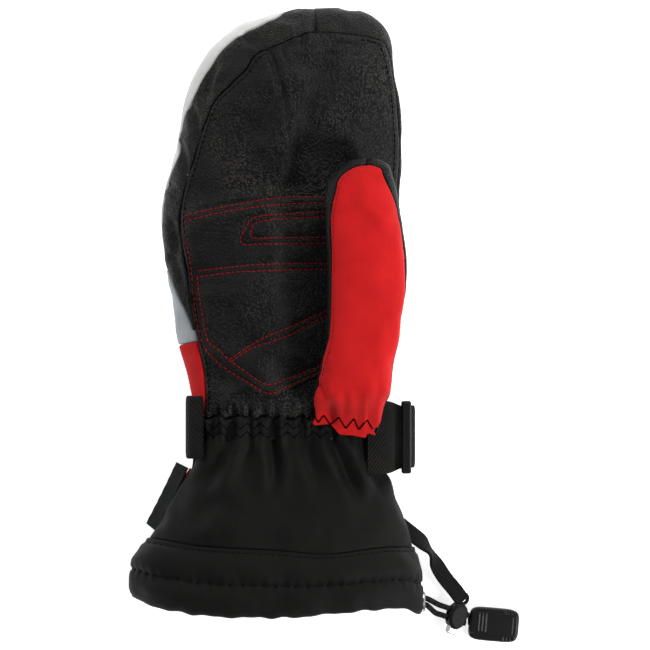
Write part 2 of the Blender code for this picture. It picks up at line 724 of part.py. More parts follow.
# ---- the drawcord and what is on it --------------------------------------------------------------------
def make_eyelet():
    """A turned eyelet whose barrel passes through the hem, with a rolled flange outside."""
    x, y, z = EYELET
    profile = ((-1.6, 3.4), (-1.6, 3.75), (0.5, 3.75), (0.5, 5.5), (1.2, 5.4), (1.7, 4.8), (1.7, 3.4))
    work = bmesh.new()
    rings = []
    segments = 16
    for along, radius in profile:
        ring = []
        for k in range(segments):
            turn = 2 * math.pi * k / segments
            ring.append(work.verts.new((x + along, y + radius * math.cos(turn), z + radius * math.sin(turn))))
        rings.append(ring)
    for a, b in zip(rings, rings[1:] + rings[:1]):
        for k in range(segments):
            m = (k + 1) % segments
            work.faces.new((a[k], a[m], b[m], b[k]))
    object_from_bmesh("cord_eyelet", work, "eyelet_steel")


def lock_frame():
    """Axes of the cord lock: along the cord, along its length, and out of its face."""
    along = LOCK_DIRECTION
    length = Vector((-along.y, along.x, 0.0)).normalized()
    face = along.cross(length)
    turn = Matrix((along, length, face)).transposed().to_4x4()
    return Matrix.Translation(LOCK_CENTRE) @ turn


CHANNEL_COLUMNS = 44
CHANNEL_DEPTH = 3.5


def channel_point(turn):
    """A point of the drawcord's channel, counted in 44ths of a turn round the hem."""
    ring = HAND.ring(TIP_Y - EYELET[1], CHANNEL_COLUMNS)
    return pushed(HAND, ring[turn % CHANNEL_COLUMNS], CHANNEL_DEPTH)


def strand_route(side):
    """Out of the hem channel, through the eyelet and straight through the lock to the tab."""
    frame = lock_frame()
    y = EYELET[1] + side * 1.7
    z = EYELET[2]
    start = channel_point(2 * side)
    start.y = y
    straight = [frame @ Vector((at, side * 2.3, 0.0)) for at in (-12.0, -8.0, -4.0, 0.0, 4.0, 6.2)]
    bend = [(start.x + 0.9, y, z + side * 2.4), (73.6, y, z + side * 0.6), (75.6, y, z), (78.0, y, z - 0.1)]
    return [tuple(start)] + bend + [tuple(point) for point in straight]


def make_drawcord():
    for name, side in (("drawcord_strand_a", 1), ("drawcord_strand_b", -1)):
        cord(name, curve_through(strand_route(side), 3.0), CORD_D, "cord_black")
    points = [channel_point(turn) for turn in range(3, CHANNEL_COLUMNS - 2)]
    cord("hem_drawcord", points, CORD_D, "cord_black")


def rounded_block(size, bevel, segments, matrix):
    work = bmesh.new()
    bmesh.ops.create_cube(work, size=1.0, matrix=Matrix.Diagonal((*size, 1.0)))
    bmesh.ops.bevel(work, geom=work.edges[:], offset=bevel, segments=segments, profile=0.5, affect="EDGES")
    bmesh.ops.transform(work, matrix=matrix, verts=work.verts)
    return work


def torus_mesh(frame, radius, wire):
    """A ring in the XY plane of a frame."""
    work = bmesh.new()
    rings = []
    for k in range(16):
        turn = 2 * math.pi * k / 16
        out = Vector((math.cos(turn), math.sin(turn), 0.0))
        ring = []
        for m in range(8):
            spin = 2 * math.pi * m / 8
            point = out * (radius + wire * math.cos(spin)) + Vector((0, 0, wire * math.sin(spin)))
            ring.append(work.verts.new(frame @ point))
        rings.append(ring)
    for a, b in zip(rings, rings[1:] + rings[:1]):
        for k in range(8):
            m = (k + 1) % 8
            work.faces.new((a[k], a[m], b[m], b[k]))
    return work


def make_cord_lock():
    frame = lock_frame()
    work = bmesh.new()
    outline = []
    for k in range(20):
        turn = 2 * math.pi * k / 20
        outline.append((5.2 * math.cos(turn), 7.4 * math.sin(turn)))
    rings = []
    for level, grow in ((-4.4, 0.72), (-3.2, 0.95), (-1.2, 1.0), (1.2, 1.0), (3.2, 0.95), (4.4, 0.72)):
        rings.append([work.verts.new(frame @ Vector((x * grow, y * grow, level))) for x, y in outline])
    for a, b in zip(rings, rings[1:]):
        for k in range(20):
            m = (k + 1) % 20
            work.faces.new((a[k], a[m], b[m], b[k]))
    work.faces.new(rings[0][::-1])
    work.faces.new(rings[-1])
    body = object_from_bmesh("cord_lock_body", work, "plastic_black")
    cutters = (
        ("lock_slot_cutter", (14.0, 8.4, 3.7), (0.0, 0.0, 0.0)),
        ("lock_bore_cutter", (5.8, 15.4, 5.8), (0.0, -2.1, 0.0)),
    )
    for name, size, centre in cutters:
        work = rounded_block(size, 0.3, 1, frame @ Matrix.Translation(centre))
        cut(body, as_cutter(object_from_bmesh(name, work, "plastic_black")))
    eye = as_cutter(object_from_bmesh("lock_eye", torus_mesh(frame @ Matrix.Translation((0, 9.6, 0)),
                                                             2.7, 1.0), "plastic_black"))
    join = body.modifiers.new("eye", "BOOLEAN")
    join.operation = "UNION"
    join.object = eye
    body.modifiers.move(len(body.modifiers) - 1, 0)
    set_origin(body, LOCK_CENTRE)

    work = rounded_block((5.0, 14.6, 5.0), 0.7, 1, frame @ Matrix.Translation((0.0, -2.9, 0.0)))
    plunger = object_from_bmesh("cord_lock_plunger", work, "clear_plastic")
    slot = rounded_block((8.0, 9.8, 3.8), 0.3, 1, frame @ Matrix.Translation((0.0, -0.7, 0.0)))
    cut(plunger, as_cutter(object_from_bmesh("plunger_slot_cutter", slot, "plastic_black")))
    set_origin(plunger, LOCK_CENTRE)
    coil = []
    for k in range(19):
        turn = 2 * math.pi * k / 8
        coil.append(frame @ Vector((1.5 * math.cos(turn), 4.65 + 0.028 * k, 1.5 * math.sin(turn))))
    cord("cord_lock_spring", coil, 0.15, "spring_steel")


def make_pull_tab():
    """A moulded tab lying on the ground, with a neck, grip ribs and two side notches."""
    pivot = Vector((101.0, -162.7, 3.3))
    turn = Matrix.Translation(pivot) @ Matrix.Rotation(math.radians(-9.5), 4, "Z")
    work = bmesh.new()
    half = ((0.0, 3.9), (2.2, 4.4), (3.0, 8.4), (4.6, 9.6), (18.0, 9.2), (18.4, 7.8), (20.4, 7.8),
            (20.8, 9.0), (24.4, 8.6), (26.2, 7.0))
    outline = list(half) + [(x, -y) for x, y in half[::-1]]
    rings = []
    for level, shrink in ((-2.6, 0.8), (-1.9, 0.0), (1.2, 0.0), (2.2, 0.8)):
        ring = []
        for x, y in outline:
            narrowed = math.copysign(abs(y) - shrink, y)
            ring.append(work.verts.new(turn @ Vector((x, narrowed, level))))
        rings.append(ring)
    count = len(outline)
    for a, b in zip(rings, rings[1:]):
        for k in range(count):
            m = (k + 1) % count
            work.faces.new((a[k], a[m], b[m], b[k]))
    work.faces.new(rings[0][::-1])
    work.faces.new(rings[-1])
    set_origin(object_from_bmesh("pull_tab", work, "rubber_black"), pivot)


def make_tether():
    """Flat tape from the hem seam to the lock's eye, doubled and laid as one strap."""
    route = [(73.6, -117.5, 13.5), (77.0, -121.5, 12.5), (81.4, -128.0, 9.5), (84.6, -134.5, 7.0),
             (88.0, -140.5, 6.0), (92.5, -145.4, 6.2)]
    points = curve_through(route, 5.0)
    work = bmesh.new()
    rings = []
    for i, point in enumerate(points):
        along = (points[min(i + 1, len(points) - 1)] - points[max(i - 1, 0)]).normalized()
        twist = math.radians(90.0 - 62.0 * min(i / 4.0, 1.0))
        side = along.cross(Vector((0, 0, 1))).normalized()
        lift = side.cross(along)
        wide = side * math.cos(twist) + lift * math.sin(twist)
        thin = along.cross(wide)
        ring = []
        for a, b in ((1, 1), (1, -1), (-1, -1), (-1, 1)):
            ring.append(work.verts.new(point + wide * (3.6 * a) + thin * (1.1 * b)))
        rings.append(ring)
    for a, b in zip(rings, rings[1:]):
        for k in range(4):
            m = (k + 1) % 4
            work.faces.new((a[k], a[m], b[m], b[k]))
    work.faces.new(rings[0][::-1])
    work.faces.new(rings[-1])
    object_from_bmesh("tether_tape", work, "webbing_black")


def main():
    clear_scene()
    thumb_cutter = cylinder_cutter("thumb_hole_cutter", (*THUMB_PIVOT, 39.5), THUMB_HOLE_R, 37.0, (0, 0, 1))
    eyelet_cutter = cylinder_cutter("eyelet_hole_cutter", EYELET, 4.1, 9.0, (1, 0, 0))
    make_palm()
    for name in ("palm_panel", "palm_heel_patch"):
        cut(bpy.data.objects[name], thumb_cutter)
    make_gussets()
    make_back()
    make_hand_layers(thumb_cutter)
    make_gauntlet()
    make_hem(eyelet_cutter)
    make_piping()
    make_label()
    make_thumb(thumb_cutter)
    make_ring()
    make_anchor_loop()
    make_strap()
    make_eyelet()
    make_drawcord()
    make_cord_lock()
    make_pull_tab()
    make_tether()


main()
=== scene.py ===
"""The looks of the ski mitten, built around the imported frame.

Shapes are worked out in millimetres in the part's frame and turned to metres when a mesh is made:
palm up, fingertips along +Y, thumb side along +X, the back of the hand on the ground.
"""
import math
import random

import bmesh
import bpy
import numpy as np
from mathutils import Matrix, Vector
from mathutils.bvhtree import BVHTree
from mathutils.kdtree import KDTree


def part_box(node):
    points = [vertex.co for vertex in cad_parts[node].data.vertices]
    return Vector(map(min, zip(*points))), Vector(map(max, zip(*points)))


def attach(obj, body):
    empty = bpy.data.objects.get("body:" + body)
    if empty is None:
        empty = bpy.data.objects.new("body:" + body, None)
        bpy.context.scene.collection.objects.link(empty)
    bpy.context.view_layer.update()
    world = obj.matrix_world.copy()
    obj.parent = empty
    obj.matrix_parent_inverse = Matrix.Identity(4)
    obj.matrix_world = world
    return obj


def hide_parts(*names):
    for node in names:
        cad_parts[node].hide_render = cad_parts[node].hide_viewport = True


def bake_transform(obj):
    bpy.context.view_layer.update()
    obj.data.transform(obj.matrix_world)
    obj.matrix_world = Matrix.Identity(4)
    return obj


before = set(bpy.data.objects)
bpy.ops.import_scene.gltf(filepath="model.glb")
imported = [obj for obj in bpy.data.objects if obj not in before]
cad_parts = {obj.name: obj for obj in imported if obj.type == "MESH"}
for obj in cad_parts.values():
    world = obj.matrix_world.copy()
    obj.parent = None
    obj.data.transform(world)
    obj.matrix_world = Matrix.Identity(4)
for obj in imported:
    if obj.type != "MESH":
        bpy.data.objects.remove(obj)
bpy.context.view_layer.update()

MM = 0.001

# ---- dimensions in millimetres ----
TIP_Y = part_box("index_side_gusset")[1].y / MM + 0.4
THUMB_TIP_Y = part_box("thumb_palm_panel")[1].y / MM + 0.5
STRAP_Y = (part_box("wrist_strap")[0].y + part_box("wrist_strap")[1].y) / 2 / MM
RING_X = (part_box("strap_ring")[0].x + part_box("strap_ring")[1].x) / 2 / MM
EYELET = (75.6, -152.25, 14.5)
LOCK_CENTRE = Vector((94.0, -160.0, 6.4))
LOCK_DIRECTION = Vector((0.88, -0.33, -0.34)).normalized()
CORD_D = 3.0

# Depth below the fingertip, left edge, right edge, lowest, widest and highest level.
HAND_STATIONS = (
    (0.0, 19.4, 19.4, 19.0, 19.0, 19.0),
    (5.2, -3.2, 48.8, 9.5, 18.5, 28.0),
    (11.5, -20.0, 55.7, 5.5, 18.0, 32.0),
    (17.8, -28.9, 58.8, 3.5, 18.0, 34.5),
    (30.4, -39.4, 60.9, 1.0, 17.5, 38.0),
    (43.0, -45.2, 63.0, 0.0, 17.0, 39.6),
    (74.5, -53.0, 65.1, 0.0, 17.0, 40.5),
    (112.3, -60.9, 63.0, 0.0, 17.0, 40.5),
    (150.0, -56.7, 61.0, 0.0, 17.0, 40.5),
    (178.0, -52.0, 59.5, 2.5, 18.0, 40.3),
    (198.0, -46.5, 57.5, 9.0, 21.0, 40.0),
    (208.0, -44.5, 56.0, 10.2, 23.0, 39.8),
    (222.0, -43.0, 54.5, 10.6, 23.5, 39.8),
    (240.0, -44.8, 55.5, 10.0, 22.0, 40.2),
    (254.0, -53.5, 61.0, 4.5, 18.0, 41.5),
    (272.0, -62.0, 68.5, 1.0, 16.5, 43.5),
    (288.7, -72.0, 73.0, 0.0, 16.0, 45.0),
    (301.3, -77.0, 75.4, 0.0, 16.0, 46.0),
    (321.0, -77.0, 75.6, 0.0, 16.0, 46.0),
)
THUMB_STATIONS = (
    (0.0, 46.0, 46.0, 57.0, 57.0, 57.0),
    (4.3, 33.0, 57.5, 49.5, 57.0, 64.5),
    (13.0, 25.9, 60.0, 45.0, 57.0, 68.0),
    (29.0, 24.2, 63.0, 43.6, 56.5, 70.0),
    (60.0, 25.0, 66.0, 43.5, 56.5, 70.3),
    (91.0, 25.2, 63.5, 43.5, 56.5, 69.8),
    (107.0, 22.2, 60.5, 43.5, 56.0, 69.3),
    (127.0, 18.9, 57.0, 43.5, 54.5, 66.5),
    (139.0, 20.0, 52.5, 43.5, 52.5, 61.0),
    (145.0, 25.0, 46.0, 43.9, 49.5, 54.0),
)
ROUND_TOP = (2.6, 1.9)
ROUND_BOTTOM = (2.3, 2.0)

# Where the palm's seam lies, in from the outline: depth below the fingertip, left, right.
PALM_SEAM = ((0, 14.6, 14.6), (12, 17.5, 9.0), (20, 20.5, 3.0), (32, 19.0, 1.2), (48, 13.5, 1.0),
             (75, 10.3, 1.0), (110, 9.5, 1.0), (150, 10.5, 1.0), (182, 10.0, 1.0), (217, 5.0, 1.0))
# The same for the seam with the back: above the outline if positive, under it if negative.
BACK_SEAM = ((0, -1.5, -3.0), (2.6, 0.0, -3.2), (5, 2.2, -3.4), (10, 3.8, -4.0), (20, 3.9, -4.0),
             (30, 4.6, -4.0), (40, 3.6, -4.0), (50, 2.4, -4.0), (60, 0.4, -4.0), (70, 0.2, -4.0),
             (79, 1.6, -4.0), (88, 0.1, -4.0), (135, 0.0, -4.0), (150, 3.0, -4.0), (172, 8.3, -4.0),
             (217, 8.3, -4.0))
# How far the thumb's red panel starts inside the thumb's left edge.
THUMB_RIM = ((0, 3.4, 3.4), (7, 4.0, 4.0), (15, 4.9, 2.4), (24, 4.0, 0.9), (34, 3.0, 0.3), (60, 2.6, 0.3),
             (90, 1.8, 0.3), (112, 0.4, 0.3), (145, 0.2, 0.3))

WHITE_END = 138.0
GREY_END = 178.0
GUSSET_END = 172.0
WRIST_SEAM = 216.0
HEM_SEAM = 282.0
MOUTH = 321.0
WRIST_Y = -55.4
# The hem's second line of stitches, below the hem's seam.
HEM_STITCH = 22.0
SHELL = 1.2
SEAM_GAP = 0.12
# Extra rows this far in from the edges of a panel, where it turns down into its seams.
EDGES = (0.35, 0.8, 1.5)


# ---- curves and the tapering tubes ----
class Curve:
    """Monotone cubic through points, for a number or an array."""

    def __init__(self, xs, ys):
        self.xs = np.asarray(xs, float)
        self.ys = np.asarray(ys, float)
        steps = np.diff(self.xs)
        slopes = np.diff(self.ys) / steps
        tangents = np.zeros(len(self.xs))
        tangents[0], tangents[-1] = slopes[0], slopes[-1]
        for i in range(1, len(self.xs) - 1):
            if slopes[i - 1] * slopes[i] > 0:
                near = 2 * steps[i] + steps[i - 1]
                far = steps[i] + 2 * steps[i - 1]
                tangents[i] = (near + far) / (near / slopes[i - 1] + far / slopes[i])
        self.steps, self.tangents = steps, tangents

    def __call__(self, at):
        at = np.clip(np.asarray(at, float), self.xs[0], self.xs[-1])
        i = np.clip(np.searchsorted(self.xs, at, side="right") - 1, 0, len(self.steps) - 1)
        h = self.steps[i]
        t = (at - self.xs[i]) / h
        value = self.ys[i] * (1 + 2 * t) * (1 - t) ** 2 + self.ys[i + 1] * t * t * (3 - 2 * t)
        return value + h * (self.tangents[i] * t * (1 - t) ** 2 - self.tangents[i + 1] * t * t * (1 - t))


def smoothstep(value):
    value = np.clip(value, 0.0, 1.0)
    return value * value * (3 - 2 * value)


# Down to this depth, layers inside a tube are scaled to fit its dome, not offset.
TIP_ZONE = 43.0


class Tube:
    """A closed-ended tapering tube along Y, with a domed top and a flat underside."""

    def __init__(self, stations, tip_y, flat, halves):
        table = np.array(stations, float)
        keys = np.sqrt(table[:, 0])
        self.curves = [Curve(keys, table[:, column]) for column in range(1, 6)]
        self.tip_y = tip_y
        self.flat = flat
        self.halves = halves
        self.last = table[-1, 0]

    def section(self, depth):
        key = np.sqrt(np.maximum(depth, 0.0))
        return [curve(key) for curve in self.curves]

    def height(self, x, depth, top):
        left, right, low, wide, high = self.section(depth)
        half = np.maximum((right - left) / 2, 1e-6)
        across = np.minimum(np.abs(x - (left + right) / 2) / half, 1.0)
        power, root = ROUND_TOP
        above = wide + (high - wide) * (1 - across ** power) ** (1 / root)
        power, root = ROUND_BOTTOM
        across = np.maximum(0.0, (across - self.flat) / (1 - self.flat))
        below = wide - (wide - low) * (1 - across ** power) ** (1 / root)
        return np.where(top, above, below)

    def outline(self, depth, side):
        """Plan points on the left (-1) or right (+1) edge, and the way out from them."""
        curve = self.curves[0 if side < 0 else 1]
        step = 0.02 * np.maximum(depth, 0.5)
        before = np.maximum(depth - step, 0.0)
        across = curve(np.sqrt(depth + step)) - curve(np.sqrt(before))
        down = -(depth + step - before)
        length = np.hypot(across, down)
        out = np.stack([-down / length, across / length], -1) * side
        edge = np.stack([curve(np.sqrt(depth)), self.tip_y - depth], -1)
        return edge, out

    def at_inset(self, depth, side, inset):
        """Surface points a given way inside the outline: above it if positive, under it if not."""
        depth, inset = np.broadcast_arrays(np.asarray(depth, float), np.asarray(inset, float))
        edge, out = self.outline(depth, side)
        plan = edge - out * np.abs(inset)[..., None]
        down = np.maximum(self.tip_y - plan[..., 1], 0.02)
        z = self.height(plan[..., 0], down, inset >= 0)
        z = np.where(np.abs(inset) < 1e-6, self.section(depth)[3], z)
        return np.stack([plan[..., 0], self.tip_y - down, z], -1)

    def face(self, depth, insets, top, columns):
        """Rows over the palm or under the back, from one inset to the other."""
        left = self.at_inset(depth, -1, insets[0])
        right = self.at_inset(depth, 1, insets[1])
        share = ((1 - np.cos(np.linspace(0, math.pi, columns))) / 2)[None, :, None]
        plan = left[:, None, :2] * (1 - share) + right[:, None, :2] * share
        z = self.height(plan[..., 0], self.tip_y - plan[..., 1], top)
        rows = np.concatenate([plan, z[..., None]], -1)
        rows[:, 0], rows[:, -1] = left, right
        return rows

    def edge(self, depth, side, start, stop, columns):
        """Rows across an edge of the tube, from one inset to another."""
        share = np.linspace(0, 1, columns)[None, :]
        first = np.sign(start) * np.sqrt(np.abs(start))
        last = np.sign(stop) * np.sqrt(np.abs(stop))
        mid = np.asarray(first)[:, None] * (1 - share) + np.asarray(last)[:, None] * share
        return self.at_inset(np.asarray(depth)[:, None], side, mid * np.abs(mid))

    def ring(self, depth, columns, inset=0.0, tip_inset=0.0):
        """Rings right round the tube, evenly spaced along each ring; half of them go over the top."""
        depth = np.asarray(depth, float)[:, None]
        left, right, low, wide, high = self.section(depth)
        centre = (left + right) / 2
        near = depth < TIP_ZONE
        sizes = []
        for size, full in zip(((right - left) / 2, wide - low, high - wide), self.halves):
            sizes.append(np.where(near, size * (1 - inset / full), size - inset))
        turn = np.linspace(0, math.pi, 161)[None, :]
        cos, sin = np.cos(turn), np.sin(turn)
        power, root = ROUND_TOP
        x_top = np.sign(cos) * np.abs(cos) ** (2 / power)
        z_top = wide + sizes[2] * sin ** (2 / root)
        power, root = ROUND_BOTTOM
        x_low = -np.sign(cos) * (self.flat + (1 - self.flat) * np.abs(cos) ** (2 / power))
        x_low = np.where(np.abs(cos) < 1e-9, 0.0, x_low)
        z_low = wide - sizes[1] * sin ** (2 / root)
        y = self.tip_y - depth - tip_inset * np.maximum(0.0, 1.0 - depth / TIP_ZONE)
        rings = []
        for x, z in ((x_top, z_top), (x_low, z_low)):
            dense = np.stack(np.broadcast_arrays(centre + x * sizes[0], y, z), -1)
            rings.append(resampled(dense, columns // 2 + 1)[:, :-1])
        return np.concatenate(rings, 1)


def lengths(points):
    """How far along a line of points each of them is."""
    return np.concatenate([[0], np.cumsum(np.linalg.norm(np.diff(points, axis=0), axis=1))])


def unit(vectors):
    """Vectors scaled to a length of one."""
    return vectors / np.maximum(np.linalg.norm(vectors, axis=-1, keepdims=True), 1e-9)


def resampled(rows, columns, edges=()):
    """Rows of points spaced evenly along their length, with extra points near both ends."""
    result = np.empty((len(rows), columns + 2 * len(edges), 3))
    for r, row in enumerate(rows):
        length = lengths(row)
        total = max(length[-1], 1e-6)
        at = np.linspace(0, total, columns)
        if edges:
            margin = np.minimum(edges, 0.3 * total)
            inner = np.linspace(margin[-1], total - margin[-1], columns + 2)[1:-1]
            at = np.concatenate([[0], margin[:-1], inner, total - margin[-2::-1], [total]])
        for k in range(3):
            result[r, :, k] = np.interp(at, length, row[:, k])
    return result


HAND = Tube(HAND_STATIONS, TIP_Y, 0.35, (54.0, 17.0, 22.7))
THUMB = Tube(THUMB_STATIONS, THUMB_TIP_Y, 0.5, (19.8, 13.0, 13.7))


def table_curve(table, column):
    return Curve([row[0] for row in table], [row[column] for row in table])


PALM_LEFT, PALM_RIGHT = table_curve(PALM_SEAM, 1), table_curve(PALM_SEAM, 2)
BACK_LEFT, BACK_RIGHT = table_curve(BACK_SEAM, 1), table_curve(BACK_SEAM, 2)
RIM_LEFT, RIM_RIGHT = table_curve(THUMB_RIM, 1), table_curve(THUMB_RIM, 2)


def depths(start, stop, count, power=1.0):
    """Row depths, closer together near the start if power is over 1, with extra rows at the ends."""
    inner = start + (stop - start) * np.linspace(0, 1, count) ** power
    extra = [start + e for e in EDGES] + [stop - e for e in EDGES]
    inner = inner[(inner > start + EDGES[-1]) & (inner < stop - EDGES[-1])]
    return np.array(sorted([start, stop, *extra, *inner]))


# ---- meshes ----
def grid_faces(rows, columns, start=0, closed=False, flip=False):
    r, c = np.meshgrid(np.arange(rows - 1), np.arange(columns if closed else columns - 1), indexing="ij")
    d = (c + 1) % columns
    quads = np.stack([r * columns + c, r * columns + d, (r + 1) * columns + d, (r + 1) * columns + c], -1)
    quads = quads.reshape(-1, 4) + start
    return quads[:, ::-1] if flip else quads


def grid_normals(grid, closed=False):
    """Unit normals of a grid; the side they face depends on how its rows and columns run."""
    down = np.gradient(grid, axis=0)
    if closed:
        across = (np.roll(grid, -1, 1) - np.roll(grid, 1, 1)) / 2
    else:
        across = np.gradient(grid, axis=1)
    return unit(np.cross(across, down))


def outward(grid, normal, centre):
    """The same normals, turned round if most of them face the centre."""
    return normal if np.sum(normal * (grid - centre)) > 0 else -normal


def placed(made, body, stands_for):
    """Put a piece in the scene, on its body, in the place of its CAD nodes."""
    bpy.context.scene.collection.objects.link(made)
    if body:
        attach(made, body)
    if stands_for:
        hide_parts(*stands_for)
    return made


def mesh_object(name, points, faces, look, body=None, stands_for=(), slot=None):
    mesh = bpy.data.meshes.new(name)
    mesh.from_pydata((np.asarray(points, float) * MM).tolist(), [], [list(map(int, f)) for f in faces])
    mesh.validate()
    work = bmesh.new()
    work.from_mesh(mesh)
    bmesh.ops.remove_doubles(work, verts=work.verts, dist=1e-7)
    bmesh.ops.dissolve_degenerate(work, edges=work.edges, dist=1e-8)
    if work.calc_volume(signed=True) < 0:
        bmesh.ops.reverse_faces(work, faces=work.faces)
    work.to_mesh(mesh)
    work.free()
    mesh.materials.append(look)
    mesh.shade_smooth()
    return placed(bpy.data.objects.new(name, mesh), body, stands_for)


def edge_distance(grid, tip=True):
    """How far each point of a grid is from the nearest of its borders, along the grid."""
    steps = np.linalg.norm(np.diff(grid, axis=0), axis=-1)
    down = np.concatenate([np.zeros((1, grid.shape[1])), np.cumsum(steps, 0)])
    distance = np.minimum(down, down[-1:] - down) if tip else down[-1:] - down
    steps = np.linalg.norm(np.diff(grid, axis=1), axis=-1)
    across = np.concatenate([np.zeros((grid.shape[0], 1)), np.cumsum(steps, 1)], 1)
    return np.minimum(distance, np.minimum(across, across[:, -1:] - across))


def rolled(grid, normal, radius, tip=True):
    """Turn the borders of a panel down into its seams; the first row stays if tip is False."""
    near = np.clip(1 - edge_distance(grid, tip) / radius, 0, 1)
    return grid - normal * (radius * (1 - np.sqrt(1 - near * near)))[..., None]


def sheet_shape(grid, normal, thickness, closed=False):
    """Points and faces of a panel with an outer side, an inner side and walls round its borders."""
    rows, columns = grid.shape[:2]
    outer = grid.reshape(-1, 3)
    inner = (grid - normal * thickness).reshape(-1, 3)
    count = len(outer)
    faces = [grid_faces(rows, columns, 0, closed), grid_faces(rows, columns, count, closed, True)]
    index = np.arange(count).reshape(rows, columns)
    borders = [index[0], index[-1][::-1]]
    if closed:
        borders = [np.append(index[0], index[0][0]), np.append(index[-1], index[-1][0])[::-1]]
    else:
        borders += [index[:, -1], index[::-1, 0]]
    for border in borders:
        a, b = border[:-1], border[1:]
        faces.append(np.stack([b, a, a + count, b + count], -1))
    return np.concatenate([outer, inner]), np.concatenate(faces)


def sheet_mesh(name, grid, normal, thickness, look, closed=False, **where):
    points, faces = sheet_shape(grid, normal, thickness, closed)
    return mesh_object(name, points, faces, look, **where)


# ---- materials ----
class Nodes:
    """A short way to write a material's nodes."""

    def __init__(self, name, colour, roughness, **sockets):
        self.material = bpy.data.materials.new(name)
        self.material.use_nodes = True
        self.tree = self.material.node_tree
        self.shader = self.tree.nodes["Principled BSDF"]
        self.set("Base Color", (*colour, 1.0))
        self.set("Roughness", roughness)
        for socket, value in sockets.items():
            self.set(socket.replace("_", " "), value)
        self.where = self.add("ShaderNodeTexCoord").outputs["Object"]

    def set(self, socket, value):
        self.shader.inputs[socket].default_value = value

    def add(self, kind, inputs=None, **settings):
        node = self.tree.nodes.new(kind)
        for key, value in settings.items():
            setattr(node, key, value)
        for key, value in (inputs or {}).items():
            target = node.inputs[key]
            if isinstance(value, bpy.types.NodeSocket):
                self.tree.links.new(value, target)
            else:
                target.default_value = value
        return node

    def link(self, source, socket):
        self.tree.links.new(source, self.shader.inputs[socket])

    def noise(self, scale, detail=3.0, roughness=0.55):
        return self.add("ShaderNodeTexNoise", {"Vector": self.where, "Scale": scale, "Detail": detail,
                                               "Roughness": roughness}).outputs["Fac"]

    def turned(self, angle, where=None):
        mapping = self.add("ShaderNodeMapping", {"Vector": where or self.where})
        mapping.inputs["Rotation"].default_value = (0, 0, math.radians(angle))
        return mapping.outputs["Vector"]

    def wave(self, scale, direction="X", distortion=0.0, where=None):
        return self.add("ShaderNodeTexWave", {"Vector": where or self.where, "Scale": scale,
                                              "Distortion": distortion, "Detail": 1.0,
                                              "Detail Scale": 2.0},
                        bands_direction=direction).outputs["Fac"]

    def maths(self, operation, a, b=0.0):
        return self.add("ShaderNodeMath", {0: a, 1: b}, operation=operation).outputs[0]

    def ramp(self, value, stops):
        node = self.add("ShaderNodeValToRGB", {"Fac": value})
        elements = node.color_ramp.elements
        while len(elements) < len(stops):
            elements.new(0.5)
        for element, (position, colour) in zip(elements, stops):
            element.position = position
            element.color = (*colour, 1.0)
        return node.outputs["Color"]

    def colours(self, value, dark, light, low=0.3, high=0.7):
        self.link(self.ramp(value, ((low, dark), (high, light))), "Base Color")

    def rough(self, value, low, high):
        node = self.add("ShaderNodeMapRange", {"Value": value, "To Min": low, "To Max": high})
        self.link(node.outputs["Result"], "Roughness")

    def bump(self, height, distance, strength=1.0, after=None):
        inputs = {"Height": height, "Distance": distance, "Strength": strength}
        if after:
            inputs["Normal"] = after
        return self.add("ShaderNodeBump", inputs).outputs["Normal"]

    def finish(self, normal):
        self.link(normal, "Normal")
        return self.material


def leather(name, dark, light, rough=(0.34, 0.50)):
    """Pebbled leather: small domed cells, with painted highlights on their tops and painted shade in the
    gaps between them.
    """
    n = Nodes(name, dark, 0.4)
    n.set("Specular IOR Level", 0.19)
    wander = n.add("ShaderNodeTexNoise", {"Vector": n.where, "Scale": 260.0}).outputs["Color"]
    warped = n.add("ShaderNodeMixRGB", {"Fac": 0.0014, "Color1": n.where, "Color2": wander},
                   blend_type="ADD").outputs[0]
    cells = n.add("ShaderNodeTexVoronoi", {"Vector": warped, "Scale": 860.0, "Smoothness": 0.45},
                  feature="SMOOTH_F1").outputs["Distance"]
    domes = n.ramp(cells, ((0.16, (1, 1, 1)), (0.62, (0, 0, 0))))
    broad = n.noise(30.0, 4.0)
    painted_highlight_patches = n.ramp(n.noise(24.0, 3.0), ((0.34, (0.10, 0.10, 0.10)), (0.68, (1, 1, 1))))
    # Painted highlight and shade: the colour is paler on the cells' tops and darker in the gaps between
    # them, more so in random broad patches.
    n.colours(n.maths("MULTIPLY", domes, painted_highlight_patches), dark, light, 0.15, 1.0)
    n.rough(n.maths("MULTIPLY", broad, domes), rough[1], rough[0])
    normal = n.bump(broad, 0.0016, 0.5)
    normal = n.bump(n.noise(170.0, 3.0), 0.0006, 0.5, normal)
    return n.finish(n.bump(domes, 0.00024, 1.0, normal))


def ridge_scale(pitch):
    """The wave texture's scale for one ridge in every pitch millimetres."""
    return 1.0 / (pitch * MM) / 6.283 * 2


def woven(name, dark, light, pitch, roughness=0.85, sheen=0.04, twill=45.0):
    """A woven face: two crossing sets of fine ridges with slow changes of shade."""
    n = Nodes(name, dark, roughness)
    n.set("Sheen Weight", sheen)
    n.set("Sheen Roughness", 0.5)
    n.set("Specular IOR Level", 0.14)
    scale = ridge_scale(pitch)
    rib = n.wave(scale, "X", 0.4, n.turned(twill))
    cross = n.wave(scale, "Y", 0.4, n.turned(twill))
    weave = n.maths("MULTIPLY", rib, cross)
    slow = n.noise(60.0, 5.0, 0.6)
    shade = n.maths("ADD", n.maths("MULTIPLY", slow, 0.8), n.maths("MULTIPLY", weave, 0.25))
    n.colours(shade, dark, light, 0.3, 0.75)
    n.rough(slow, roughness - 0.08, roughness + 0.06)
    normal = n.bump(slow, 0.0006, 0.25)
    return n.finish(n.bump(weave, 0.00008, 1.0, normal))


